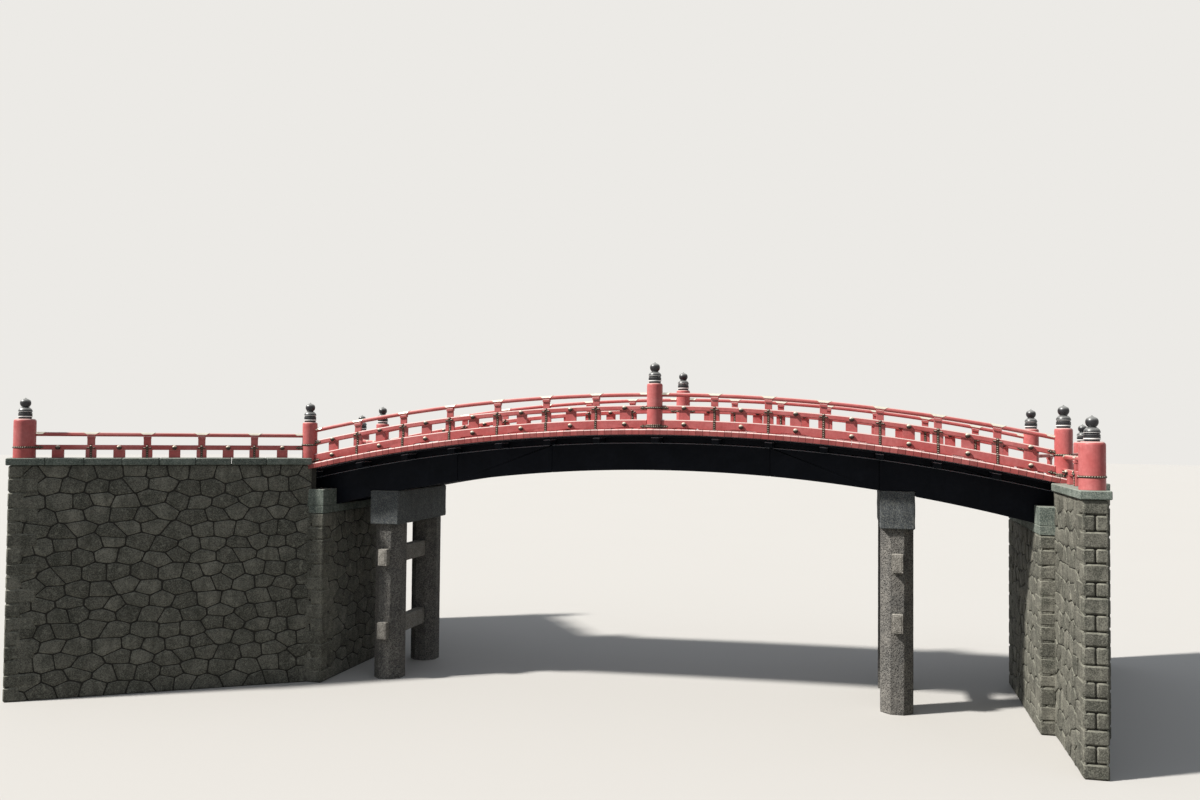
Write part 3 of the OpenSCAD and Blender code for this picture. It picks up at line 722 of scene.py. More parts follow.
class GeometryTree(Nodes):
    """A Geometry Nodes tree with named inputs, run on an object and turned into a plain mesh."""

    def __init__(self, name: str, **inputs: str) -> None:
        """Makes the tree, with the kind of socket of each input."""
        super().__init__(bpy.data.node_groups.new(name, "GeometryNodeTree"))
        face = self.tree.interface
        face.new_socket("Geometry", in_out="OUTPUT", socket_type="NodeSocketGeometry")
        for key, kind in {"Geometry": "Geometry", "Form": "Object", "Finish": "Material", **inputs}.items():
            face.new_socket(key, in_out="INPUT", socket_type="NodeSocket" + kind)
        self.inputs = self.tree.nodes.new("NodeGroupInput").outputs
        inputs = {"Object": self.inputs["Form"], "As Instance": True}
        self.form = self.add("GeometryNodeObjectInfo", inputs, "Geometry")

    def close(self, geometry: Socket) -> None:
        """Ends the tree in Realize Instances and Set Material."""
        solid = self.add("GeometryNodeRealizeInstances", (geometry,))
        painted = self.add("GeometryNodeSetMaterial", {"Geometry": solid, "Material": self.inputs["Finish"]})
        self.feed(self.tree.nodes.new("NodeGroupOutput").inputs[0], painted)

    def run(self, name: str, mesh: bpy.types.Mesh, form: bpy.types.Mesh, finish: Finish,
            replaced: Sequence[str], **values: float) -> None:
        """Runs the tree and hands in what it makes.

        Args:
            name: the piece's name.
            mesh: what goes in, which is used up.
            form: the form that is set down many times, used up too.
            finish: the piece's finish.
            replaced: CAD nodes that it stands for.
            values: the tree's own inputs.
        """
        model, source = link(name + "_form", form), link(name + "_source", mesh)
        modifier = source.modifiers.new("form", "NODES")
        modifier.node_group = self.tree
        values.update(Form=model, Finish=finish.material)
        for item in self.tree.interface.items_tree:
            if item.name in values:
                modifier[item.identifier] = values[item.name]
        graph = bpy.context.evaluated_depsgraph_get()
        result = bpy.data.meshes.new_from_object(source.evaluated_get(graph), depsgraph=graph)
        result.name = name
        for spare in ("out", "up"):
            if spare in result.attributes:
                result.attributes.remove(result.attributes[spare])
        for item in (source, model):
            bpy.data.objects.remove(item)
        finish_piece(name, result, finish, replaced)


class Fittings(GeometryTree):
    """Small forms set on points of a mesh, each turned to the way its point faces."""

    def __init__(self) -> None:
        """Builds the tree."""
        super().__init__("fittings_on_points", Size="Float", Spread="Float", Seed="Int")
        ways = [self.add("GeometryNodeInputNamedAttribute", {"Name": way}, "Attribute",
                         data_type="FLOAT_VECTOR") for way in ("out", "up")]
        turn = self.add("FunctionNodeAxesToRotation", ways, primary_axis="Z", secondary_axis="Y")
        low, high = (self.sums(self.inputs["Size"], (way, self.inputs["Spread"]))
                     for way in ("SUBTRACT", "ADD"))
        size = self.add(RANDOM, {2: low, 3: high, "Seed": self.inputs["Seed"]}, 1, data_type="FLOAT")
        inputs = {"Points": self.inputs["Geometry"], "Instance": self.form, "Rotation": turn, "Scale": size}
        self.close(self.add(ON_POINTS, inputs))

    def set(self, name: str, form: Shape, finish: Finish, spots: Sequence[Spot], *replaced: str,
            spread: float = 0.0, seed: int = 1) -> None:
        """Sets a form on every spot.

        Args:
            name: the piece's name.
            form: the form, with its back on z = 0 and its top towards +Y.
            finish: its finish.
            spots: place, outward direction and upward direction of each.
            replaced: CAD nodes that the piece stands for.
            spread: how far a form's size may stray from one either way.
            seed: seed of that chance.
        """
        mesh = bpy.data.meshes.new(name + "_spots")
        mesh.from_pydata([spot[0] for spot in spots], [], [])
        for index, way in ((1, "out"), (2, "up")):
            values = [part for spot in spots for part in spot[index]]
            mesh.attributes.new(way, "FLOAT_VECTOR", "POINT").data.foreach_set("vector", values)
        model = form.mesh(name + "_form", angle=40)
        self.run(name, mesh, model, finish, replaced, Size=1.0, Spread=spread, Seed=seed)


# Timber and metalwork


@dataclass
class Timber:
    """Squared and round timbers of the railings and the underside, with eased edges."""

    line: BridgeLine
    nodes: dict[str, bpy.types.Object]
    beam_arris: float = 0.03
    post_arris: float = 0.01
    # Faces of squared and of round timbers that meet under these angles, in degrees, are shaded as one
    squared: float = 20.0
    round: float = 30.0
    # Corners nearer than this, and faces that meet under this angle, are made one
    merge: float = 0.0002
    flat: float = 0.12
    # Edges sharper than this angle are eased, and shorter ones stay as they are sawn
    sharp: float = 35.0
    long_edge: float = 0.06

    def build(self) -> None:
        """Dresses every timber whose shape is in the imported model."""
        line = self.line
        thick, thin = 1 + line.relief / (line.middle_rail_w / 2), 1 - line.relief / (line.post_t / 2)
        sides, ends = ("_near", "_far"), ("_left", "_right")
        girders = ("_near", "_middle", "_far", "_packing")
        for part, places, finish, edge, angle, share in (
                ("bottom_rail", sides, VERMILION, self.beam_arris, self.squared, 1.0),
                ("middle_rail", sides, VERMILION, self.beam_arris, self.squared, thick),
                ("bay_posts", sides, VERMILION, self.post_arris, self.squared, thin),
                ("panel_posts", sides, VERMILION, self.post_arris, self.squared, thin),
                ("bearing_blocks", sides, VERMILION, self.post_arris, self.squared, 1.0),
                ("wing_posts", ends, VERMILION, self.post_arris, self.squared, 1.0),
                ("top_rail", sides, TURNED, self.post_arris, self.round, 1.0),
                ("wing_rails", ends, TURNED, self.post_arris, self.round, 1.0),
                ("girder", girders, BLACK, self.beam_arris, self.squared, 1.0),
                ("cross_beams", ("",), BLACK, self.beam_arris, self.squared, 1.0),
                ("deck_joists", ("",), BLACK, self.beam_arris, self.squared, 1.0)):
            for place in places:
                self.dress(part + place, finish, edge, angle, share)

    def dress(self, node: str, finish: Finish, edge: float, angle: float, share: float) -> None:
        """Dresses a CAD node, its edges eased as a plane or chisel leaves them.

        Args:
            node: the CAD node.
            finish: its finish.
            edge: width of the eased edges.
            angle: faces that meet under this angle, in degrees, are shaded as one.
            share: thickness about the middle of its railing, for the solid's one.
        """
        work = bmesh.new()
        work.from_mesh(self.nodes[node].data)
        bmesh.ops.remove_doubles(work, verts=work.verts, dist=self.merge)
        flat, sharp = math.radians(self.flat), math.radians(self.sharp)
        bmesh.ops.dissolve_limit(work, angle_limit=flat, verts=work.verts, edges=work.edges)
        for vert in work.verts if share != 1 else ():
            middle = math.copysign(self.line.rail_line, vert.co.y)
            vert.co.y = middle + (vert.co.y - middle) * share
        edges = [e for e in work.edges if e.calc_face_angle(0.0) > sharp and e.calc_length() > self.long_edge]
        bmesh.ops.bevel(work, geom=edges, offset=edge, segments=2, profile=0.5, affect="EDGES")
        mesh = bpy.data.meshes.new("dressed_" + node)
        work.to_mesh(mesh)
        work.free()
        soften(mesh, angle)
        mesh.materials.append(finish.material)
        finish_piece("dressed_" + node, mesh, finish, [node])


@dataclass
class Planking:
    """The deck's planks, laid across the bridge on the arc, each with its own shade and eased ends."""

    line: BridgeLine
    count: int = 112
    joint: float = 0.01
    chamfer: float = 0.034
    arris: float = 0.006
    unevenness: float = 0.003

    def plank(self) -> Shape:
        """One plank, its top on z = 0, length along Y, with chamfered ends."""
        w = self.line.deck_len / self.count / 2 - self.joint / 2
        half, t, a = self.line.deck_w / 2, self.line.deck_t, self.arris
        rings = []
        for y, top in ((-half, -self.chamfer), (self.chamfer - half, 0.0), (half - self.chamfer, 0.0),
                       (half, -self.chamfer)):
            rings.append([(-w, y, a - t), (-w, y, top - a), (a - w, y, top), (w - a, y, top), (w, y, top - a),
                          (w, y, a - t), (w - a, y, -t), (a - w, y, -t)])
        shape = Shape()
        shape.skin(rings, capped=True)
        return shape

    def build(self) -> None:
        """Lays the planks on an arc by Geometry Nodes, and gives each a shade."""
        line = self.line
        g = GeometryTree("planks_on_an_arc", Count="Int", Length="Float", Radius="Float", Crown="Float",
                         Middle="Float", Unevenness="Float", Seed="Int")
        radius = g.inputs["Radius"]
        x = g.sums(g.add("GeometryNodeInputIndex"), ("ADD", 0.5), ("DIVIDE", g.inputs["Count"]),
                   ("SUBTRACT", 0.5), ("MULTIPLY", g.inputs["Length"]))
        z = g.sums(radius, ("MULTIPLY", radius), ("SUBTRACT", g.sums(x, ("MULTIPLY", x))), ("SQRT", 0.0),
                   ("SUBTRACT", radius), ("ADD", g.inputs["Crown"]))
        low = g.sums(g.inputs["Unevenness"], ("MULTIPLY", -1.0))
        lift = g.add(RANDOM, {2: low, 3: 0.0, "Seed": g.inputs["Seed"]}, 1, data_type="FLOAT")
        shift = g.add(RANDOM, {2: low, 3: g.inputs["Unevenness"], "Seed": 7}, 1, data_type="FLOAT")
        shade = g.add(RANDOM, {2: -0.5, 3: 0.5, "Seed": 11}, 1, data_type="FLOAT")
        middle, raised = g.sums(x, ("ADD", g.inputs["Middle"])), g.sums(z, ("ADD", lift))
        place = g.add("ShaderNodeCombineXYZ", (middle, shift, raised))
        points = g.add("GeometryNodeMeshLine", {"Count": g.inputs["Count"]})
        laid = g.add("GeometryNodeSetPosition", {"Geometry": points, "Position": place})
        turn = g.add("ShaderNodeCombineXYZ", (0.0, g.sums(x, ("DIVIDE", radius), ("ARCSINE", 0.0))))
        planks = g.add(ON_POINTS, {"Points": laid, "Instance": g.form, "Rotation": turn})
        inputs = {"Geometry": planks, "Name": "tone", "Value": shade}
        g.close(g.add("GeometryNodeStoreNamedAttribute", inputs, data_type="FLOAT", domain="INSTANCE"))
        g.run("deck_planks", bpy.data.meshes.new("laying"), self.plank().mesh("plank", 25), WALKED, ["deck"],
              Count=self.count, Length=line.deck_len, Radius=line.radius + line.deck_t,
              Crown=line.crown + line.deck_t, Middle=line.mid_x, Unevenness=self.unevenness, Seed=3)


@dataclass
class RoundPosts:
    """The thick round posts, turned from whole trunks, with their bronze onion finials."""

    line: BridgeLine
    fittings: Fittings
    shoulder: float = 0.08
    wing_shoulder: float = 0.1
    facets: int = 64
    finial_facets: int = 48
    steps: int = 14
    drum_r: float = 0.224
    drum_top: float = 0.264
    dome_h: float = 0.168
    ball_r: float = 0.177
    ball_mid: float = 0.5536

    def post(self, radius: float, foot: float, top: float, shoulder: float) -> Shape:
        """Post from foot to top with a rounded shoulder."""
        side = [(radius, foot + (top - shoulder - foot) * i / self.steps) for i in range(self.steps)]
        round_off = arc((radius - shoulder, top - shoulder), (shoulder, shoulder), 0, 90, 8)
        return Shape().turn([(0.0, foot), *side, *round_off, (0.0, top)], self.facets)

    def finial(self) -> Shape:
        """Finial: recessed foot, banded drum, dome with a collar, onion ball and point."""
        r = self.drum_r
        drum = [(0.0, 0.0), (0.202, 0.0), (0.208, 0.006), (0.208, 0.054), (0.222, 0.058), (0.222, 0.104),
                (r, 0.108), (r, 0.146), (0.216, 0.149), (0.216, 0.155), (r, 0.158), (r, 0.194),
                (0.218, 0.199), (0.207, 0.204), (0.207, 0.242), (0.226, 0.247), (0.226, self.drum_top)]
        dome = arc((0.0, self.drum_top), (r, self.dome_h), 5, 50, 8)
        collar = [(0.137, 0.394), (0.137, 0.4), (0.122, 0.408), (0.103, 0.412), (0.101, 0.416)]
        ball = arc((0.0, self.ball_mid), (self.ball_r, self.ball_r), -50, 35, 13)
        point = [(0.128, 0.668), (0.11, 0.679), (0.09, 0.69), (0.071, 0.699), (0.052, 0.707), (0.035, 0.716),
                 (0.023, 0.725), (0.014, 0.735), (0.006, 0.746), (0.0, 0.751)]
        return Shape().turn(drum + dome + collar + ball + point, self.finial_facets)

    def rims(self, depth: float = 0.02, ease: float = 0.003) -> Shape:
        """Bright rims that stand out from the drum."""
        shape = Shape()
        for r, low, high in ((0.2275, 0.062, 0.1), (0.2315, 0.249, self.drum_top)):
            shape.turn([(0.0, low), (r - depth, low), (r, low + ease), (r + 0.0005, (low + high) / 2),
                        (r, high - ease), (r - depth, high), (0.0, high)], self.finial_facets)
        return shape

    def build(self, runs: Sequence[Run], wings: Sequence[Wing]) -> None:
        """Sets the posts, finials and rims of both sides and of the wings."""
        line, finial, rims = self.line, self.finial(), self.rims()
        main = self.post(line.main_post_d / 2, line.deck_t, line.main_post_top, self.shoulder)
        end = self.post(line.wing_post_d / 2, 0.0, line.wing_post_top, self.wing_shoulder)
        for name, node, group, post, top in (("{}_near", "main_posts", runs[:1], main, line.main_post_top),
                                             ("{}_far", "main_posts", runs[1:], main, line.main_post_top),
                                             ("wing_{}", "end_posts", wings, end, line.wing_post_top)):
            feet = [(run.point(x, 0.0, 0.0), UP, ACROSS) for run in group for x in run.round_posts]
            tops = [(foot + UP * top, UP, ACROSS) for foot, _, _ in feet]
            self.fittings.set(name.format("round_posts"), post, TURNED, feet, name.format(node))
            self.fittings.set(name.format("onion_finials"), finial, BRONZE, tops, name.format("finials"))
            self.fittings.set(name.format("finial_rims"), rims, RIM, tops)


@dataclass
class Metalwork:
    """Gilt sleeves, dark straps and plates, bosses and studs on the railings of one side or of the wings."""

    line: BridgeLine
    fittings: Fittings
    name: str
    runs: Sequence[Run]
    sleeve_len: float = 0.56
    sleeve_taper: float = 0.14
    end_sleeve_len: float = 0.3
    end_sleeve_taper: float = 0.09
    sleeve_t: float = 0.006
    sleeve_rim: float = 0.004
    strap_w: float = 0.085
    strap_t: float = 0.012
    bead_r: float = 0.021
    flower_bead_r: float = 0.038
    bead_pitch: float = 0.07
    # How deep studs, plates and bosses are let in, so that nothing floats
    bed: float = 0.0005
    plate_bed: float = 0.002
    boss_bed: float = 0.001
    # What a strap leaves free of the bottom rail, under it and over it
    strap_inset: Pair = (0.004, 0.006)
    plate_len: float = 0.25
    plate_h: float = 0.12
    flower_t: float = 0.03
    # Height of a flower plate as a share of its rail's, and of its bud above that
    flower_share: float = 0.42
    bud_rise: float = 0.055
    boss_d: float = 0.165
    band_half: float = 0.035
    band_depth: float = 0.02
    band_facets: int = 64
    # Rails higher than this carry a plate and a broader band low down
    deep_rail: float = 0.25
    deep_plate_rise: float = 0.09
    deep_band_rise: float = 0.1
    deep_band_half: float = 0.06
    sleeves: Shape = field(default_factory=Shape)
    straps: Shape = field(default_factory=Shape)
    studs: list[Spot] = field(default_factory=list)

    def sleeve(self, run: Run, x0: float, x1: float, taper: Pair, across: int = 8, around: int = 14) -> None:
        """Adds a sleeve over the round rail, shorter below than on top.

        Args:
            run: the railing.
            x0: one end.
            x1: other end.
            taper: how far each end steps in at the lower edges.
            across: facets along the rail.
            around: facets round it.
        """
        reach, inside, rings = math.radians(88), self.line.top_rail_d / 2 + self.bed, []
        for j in range(around + 1):
            a = -reach + 2 * reach * j / around
            step = (abs(a) / reach) ** 1.5
            low, high = x0 + taper[0] * step, x1 - taper[1] * step
            ring = []
            # Along the outside, where the rim at each end is rolled over, and back along the inside
            for k in range(2 * across + 2):
                i, outer = min(k, 2 * across + 1 - k), k <= across
                x = low + (high - low) * i / across
                r = self.line.top_rail_d / 2 + self.sleeve_t if outer else inside
                r += self.sleeve_rim if outer and i in (0, across) else 0.0
                centre = run.point(x, 0.0, run.levels[1])
                ring.append(centre + run.outward * (r * math.sin(a)) + run.up(x) * (r * math.cos(a)))
            rings.append(ring)
        verts, n = [p for ring in rings for p in ring], 2 * across + 2
        faces = [(j * n + k, j * n + (k + 1) % n, (j + 1) * n + (k + 1) % n, (j + 1) * n + k)
                 for j in range(around) for k in range(n)]
        # The lower edges, between the outside and the inside
        for i in range(across):
            for base, way in ((0, 1), (around * n, -1)):
                faces.append((base + i, base + n - 1 - i, base + n - 2 - i, base + i + 1)[::way])
        self.sleeves.add(verts, faces)

    def plate(self, run: Run, x: float, out: float, h: float, outline: Sequence[Pair], face: int,
              way: int = 1, thick: float = 0.0) -> None:
        """Adds a flat plate with the given outline to a rail's face.

        Args:
            run: the railing.
            x: place along the railing.
            out: distance of the rail's face from its centre.
            h: height of the plate's middle.
            outline: corners as offsets along the railing and up.
            face: 1 for the face away from the walkway, -1 for the one towards it.
            way: -1 turns the outline end for end.
            thick: thickness, that of a strap if left out.
        """
        t, ease = (thick, 0.004) if thick else (self.strap_t, 0.0025)
        cu, cv = (sum(p[i] for p in outline) / len(outline) for i in (0, 1))
        rings = []
        for depth, shrink in ((-self.plate_bed, 0.0), (t - ease, 0.0), (t, ease)):
            ring = []
            for u, v in outline:
                k = 1 - shrink / (math.hypot(u - cu, v - cv) or 1.0)
                corner = x + way * (cu + (u - cu) * k), face * (out + depth), h + cv + (v - cv) * k
                ring.append(run.point(*corner))
            rings.append(ring)
        self.straps.skin(rings, capped=True)

    @property
    def long_plate(self) -> list[Pair]:
        """Outline of the plate beside a round post: a strap, a lobe and a point."""
        upper = [(u, v * self.plate_h / 2) for u, v in (
            (-0.03, 0.8), (0.07, 0.8), (0.085, 0.5), (0.1, 0.5), (0.115, 0.95), (0.14, 1.1), (0.165, 0.95),
            (0.18, 0.5), (0.195, 0.45), (0.21, 0.62), (0.225, 0.5))]
        return upper + [(self.plate_len, 0.0)] + [(u, -v) for u, v in reversed(upper)]

    @property
    def cross_plate(self) -> list[Pair]:
        """Outline of the flower plate on a middle rail: a bud above two pointed arms, and a short foot."""
        right = [(u, v * self.plate_h / 2) for u, v in (
            (0.0, 1.75), (0.022, 1.6), (0.036, 1.15), (0.022, 0.7), (0.034, 0.35), (0.1, 0.25),
            (0.122, 0.42), (0.158, -0.1), (0.122, -0.62), (0.1, -0.45), (0.034, -0.55), (0.026, -1.2),
            (0.0, -1.5))]
        return right + [(-u, v) for u, v in reversed(right[1:-1])]

    def strap(self, run: Run, flowers: list[Spot]) -> None:
        """Adds straps down the posts, plates on the middle rail and beside the round posts, and their studs.

        Args:
            run: the railing.
            flowers: gets the places of the larger studs.
        """
        half, (foot, _, post_half), (low, high, out) = self.strap_w / 2, run.levels, run.rails["middle"]
        parts = [(low, high, out), (foot, low, post_half)]
        under, over = self.strap_inset
        parts += [(a + under, b - over, c) for a, b, c in list(run.rails.values())[:-1]]
        mid, flower = low + (high - low) * self.flower_share, out + self.flower_t - self.bed
        for x in run.posts:
            for face in (1, -1):
                for a, b, depth in parts:
                    self.plate(run, x, depth, 0.0, [(-half, a), (-half, b), (half, b), (half, a)], face)
                    count = max(1, round((b - a) / self.bead_pitch))
                    head = depth + self.strap_t - self.bed
                    self.studs += [run.spot(x, face, head, a + (b - a) * (i + 0.5) / count)
                                   for i in range(count)]
                self.plate(run, x, out, mid, self.cross_plate, face, 1, self.flower_t)
                self.studs += [run.spot(x + u, face, flower, mid) for u in (-0.11, -0.07, 0.07, 0.11)]
                flowers.append(run.spot(x, face, flower, mid + self.bud_rise))
        for x, r, way in run.ends:
            for face in (1, -1):
                for low, high, out in run.rails.values():
                    start = math.sqrt(max(r * r - out * out, 0.0))
                    mid = (low + high) / 2 if high - low < self.deep_rail else low + self.deep_plate_rise
                    self.plate(run, x + way * start, out, mid, self.long_plate, face, way)
                    self.studs += [run.spot(x + way * (start + u), face, out + self.strap_t - self.bed, mid)
                                   for u in (0.02, 0.06, 0.14, 0.21)]

    def bands(self, run: Run) -> None:
        """Adds bands round the thick posts, with their studs."""
        r = run.round_r
        outer = r + self.strap_t
        count = round(2 * math.pi * r / self.bead_pitch)
        for foot in [run.point(x, 0.0, 0.0) for x in run.round_posts]:
            for low, high, _ in run.rails.values():
                h, half, rows = (low + high) / 2, self.band_half, (0.0,)
                if high - low > self.deep_rail:
                    h, half, rows = low + self.deep_band_rise, self.deep_band_half, (-0.5, 0.5)
                a, b, inner, lip, e = h - half, h + half, r - self.band_depth, outer - 0.002, 0.003
                self.straps.turn([(0.0, a), (inner, a), (lip, a), (outer, a + e), (outer, b - e), (lip, b),
                                  (inner, b), (0.0, b)], self.band_facets, foot)
                for turn in [2 * math.pi * i / count for i in range(count)]:
                    out = Vector((math.cos(turn), math.sin(turn), 0.0))
                    base = foot + out * (outer - self.bed)
                    self.studs += [(base + UP * (h + half * row), out, UP) for row in rows]

    def build(self) -> None:
        """Makes the metalwork of the railings."""
        flowers, bosses = [], []
        for run in self.runs:
            for x in run.posts:
                reach, taper = self.sleeve_len / 2, self.sleeve_taper
                self.sleeve(run, x - reach, x + reach, (taper, taper))
            for x, r, way in run.ends:
                start = x + way * (r + self.bed)
                stop = start + way * self.end_sleeve_len
                taper = (0.0, self.end_sleeve_taper)
                self.sleeve(run, min(start, stop), max(start, stop), taper if way > 0 else taper[::-1])
            self.strap(run, flowers)
            bosses += [run.spot(x, face, depth - self.boss_bed, (low + high) / 2) for x in run.panel_posts
                       for low, high, depth in run.rails.values() for face in (1, -1)]
        for run in self.runs:
            self.bands(run)
        # The solids have bands on the bridge's own posts only
        replaced = ["wing_sleeves"]
        if self.name != "wings":
            replaced = ["rail_sleeves_" + self.name, "post_bands_" + self.name]
        self.sleeves.piece("gilt_sleeves_" + self.name, GILT, *replaced[:1])
        self.straps.piece("straps_and_plates_" + self.name, STRAP, *replaced[1:])
        stud = ((1.0, 0.0), (0.92, 0.3), (0.6, 0.58), (0.0, 0.7))
        # A thin washer, a waist and a domed head
        boss = ((0.86, 0.0), (0.86, 0.006), (0.76, 0.009), (0.74, 0.014), (0.9, 0.02), (1.0, 0.034),
                (0.98, 0.052), (0.83, 0.072), (0.55, 0.087), (0.25, 0.094), (0.0, 0.096))
        for part, r, rise, profile, facets, spots, spread, seed in (
                ("studs_", self.bead_r, self.bead_r, stud, 8, self.studs, 0.08, 5),
                ("flower_studs_", self.flower_bead_r, self.flower_bead_r, stud, 8, flowers, 0.05, 6),
                ("bosses_", self.boss_d / 2, 1.0, boss, 24, bosses, 0.02, 8)):
            form = Shape().turn([(r * u, rise * v) for u, v in profile], facets)
            self.fittings.set(part + self.name, form, BOSS, spots, spread=spread, seed=seed)


# Stonework


@dataclass
class Stonecutter:
    """Cuts stones: split walling stones, squared quoins, and blocks with worn edges."""

    seed: int = 4
    pitch: Pair = (0.78, 0.52)
    joint: float = 0.014
    joint_depth: float = 0.06
    course: float = 0.47
    quoin: Pair = (0.95, 0.5)
    # How far the points round which stones are cut stray, as a share of the pitch, and keep off the ends
    stray: float = 0.3
    last_seed: float = 0.1
    # Wanderings of a stone's face, the depth at which it lies at the least, and how its edges are chipped
    face_rough: float = 0.014
    least_depth: float = 0.011
    chip_len: float = 0.24
    broken_corner: float = 0.018
    # Half a bed joint between quoins, the width of their worn edges, and how far their faces wander
    quoin_joint: float = 0.01
    quoin_edge: float = 0.05
    quoin_rough: float = 0.011
    # A block's smooth margin lies this far back, past a bevel this wide
    margin_depth: float = 0.016
    margin_bevel: float = 0.008
    chance: random.Random = field(init=False)

    def __post_init__(self) -> None:
        """Seeds the chance."""
        self.chance = random.Random(self.seed)

    def courses(self, low: float, high: float) -> list[float]:
        """Heights of the bed joints of squared stones from low to high."""
        count = max(1, round((high - low) / self.course))
        inner = [low + (high - low) * (i + self.chance.uniform(-0.12, 0.12)) / count for i in range(1, count)]
        return [low, *inner, high]

    def rubble(self, shape: Shape, place: Place, span: Pair, rise: Pair) -> None:
        """Faces a wall with split stones fitted to each other: the cells round scattered points.

        Args:
            shape: gets the stones.
            place: turns distance along the wall, height and distance out of its face into a point.
            span: where the facing starts and ends along the wall.
            rise: its foot and its top.
        """
        (u0, u1), (z0, z1), c, stray = span, rise, self.chance, self.stray
        count = [max(1, round((b - a) / p)) for (a, b), p in zip((span, rise), self.pitch)]
        du, dz = (u1 - u0) / count[0], (z1 - z0) / count[1]
        # Heights are stretched while the cells are cut, so that the stones lie wider than they are high
        k = du / dz
        seeds: dict[tuple[int, int], Pair] = {}
        for j in range(count[1]):
            for i in range(count[0] + j % 2):
                u = u0 + du * (i + 0.5 - 0.5 * (j % 2) + c.uniform(-stray, stray))
                z = z0 + dz * (j + 0.5 + c.uniform(-stray, stray))
                seeds[i, j] = (min(max(u, u0 + self.last_seed), u1 - self.last_seed), z * k)
        for (i, j), seed in seeds.items():
            cell = [(u0, z0 * k), (u1, z0 * k), (u1, z1 * k), (u0, z1 * k)]
            for key in [(m, n) for m in range(i - 2, i + 3) for n in range(j - 2, j + 3)]:
                if key in seeds and key != (i, j):
                    cell = self.nearer(cell, seed, seeds[key])
            if len(cell) > 2:
                self.stone(shape, place, [(a, b / k) for a, b in cell])

    @staticmethod
    def nearer(cell: list[Pair], a: Pair, b: Pair) -> list[Pair]:
        """Part of a cell that is nearer to point a than to point b."""
        du, dv = b[0] - a[0], b[1] - a[1]
        past = [(p[0] - (a[0] + b[0]) / 2) * du + (p[1] - (a[1] + b[1]) / 2) * dv for p in cell]
        kept = []
        for p, q, here, there in zip(cell, cell[1:] + cell[:1], past, past[1:] + past[:1]):
            if here <= 0:
                kept.append(p)
            if here * there < 0:
                share = here / (here - there)
                kept.append((p[0] + (q[0] - p[0]) * share, p[1] + (q[1] - p[1]) * share))
        return kept

    def stone(self, shape: Shape, place: Place, cell: list[Pair]) -> None:
        """Adds one split stone over a cell of the wall: an uneven face with chipped edges.

        Args:
            shape: gets the stone.
            place: turns distance along the wall, height and distance out of its face into a point.
            cell: corners of the cell.
        """
        c = self.chance
        rim: list[tuple[float, float, float]] = []
        for p, q in zip(cell, cell[1:] + cell[:1]):
            parts = max(1, math.ceil(math.hypot(q[0] - p[0], q[1] - p[1]) / self.chip_len))
            # Corners are broken off a little further than sides
            rim += [(p[0] + (q[0] - p[0]) * n / parts, p[1] + (q[1] - p[1]) * n / parts,
                     0.0 if n else self.broken_corner) for n in range(parts)]
        cu, cz = sum(p[0] for p in rim) / len(rim), sum(p[1] for p in rim) / len(rim)
        back, lean = c.uniform(0.012, 0.034), (c.uniform(-0.04, 0.04), c.uniform(-0.05, 0.05))
        rings = []
        for inset, share, depth in ((self.joint, 1.0, self.joint_depth), (self.joint + 0.006, 1.0, 0.022),
                                    (self.joint + 0.034, 1.0, 0.006), (0.0, 0.5, 0.0), (0.0, 0.0, 0.0)):
            ring = []
            for u, z, broken in rim if share else rim[:1]:
                keep = max(0.2, 1 - (inset + broken) / (math.hypot(u - cu, z - cz) or 1.0)) * share
                a, b = cu + (u - cu) * keep, cz + (z - cz) * keep
                rough = self.face_rough * noise.noise(Vector((a * 4, b * 4, back * 900)))
                out = min(rough - back - depth + lean[0] * (a - cu) + lean[1] * (b - cz), -self.least_depth)
                ring.append(place(a, b, -self.joint_depth - back if depth == self.joint_depth else out))
            rings.append(ring)
        shape.skin(rings, tone=c.uniform(-0.5, 0.5))

    def corner(self, shape: Shape, place: Place, at: Pair, inward: tuple[int, int],
               beds: Sequence[float]) -> None:
        """Builds up a corner of squared stones, long and short by turns.

        Args:
            shape: gets the stones.
            place: turns x, y, z into a point.
            at: x and y of the corner.
            inward: way into the wall along x and along y.
            beds: heights of the bed joints.
        """
        for k, (low, high) in enumerate(zip(beds, beds[1:])):
            size = self.quoin if k % 2 else self.quoin[::-1]
            (x0, x1), (y0, y1) = (sorted((a, a + way * s)) for a, way, s in zip(at, inward, size))
            self.quoin_stone(shape, place, (x0, y0, low), (x1, y1, high))

    def quoin_stone(self, shape: Shape, place: Place, low: Point, high: Point) -> None:
        """Adds one squared stone between two beds, of any tone."""
        low, high = (*low[:2], low[2] + self.quoin_joint), (*high[:2], high[2] - self.quoin_joint)
        tone = self.chance.uniform(-0.3, 0.6)
        self.block(shape, place, low, high, self.quoin_edge, self.quoin_rough, tone=tone)

    @staticmethod
    def marks(low: float, high: float, inset: float, cell: float) -> list[float]:
        """Marks about a cell apart, from an inset past low to as much before high."""
        size = high - low - 2 * inset
        count = max(1, round(size / cell))
        return [low + inset + size * i / count for i in range(count + 1)]

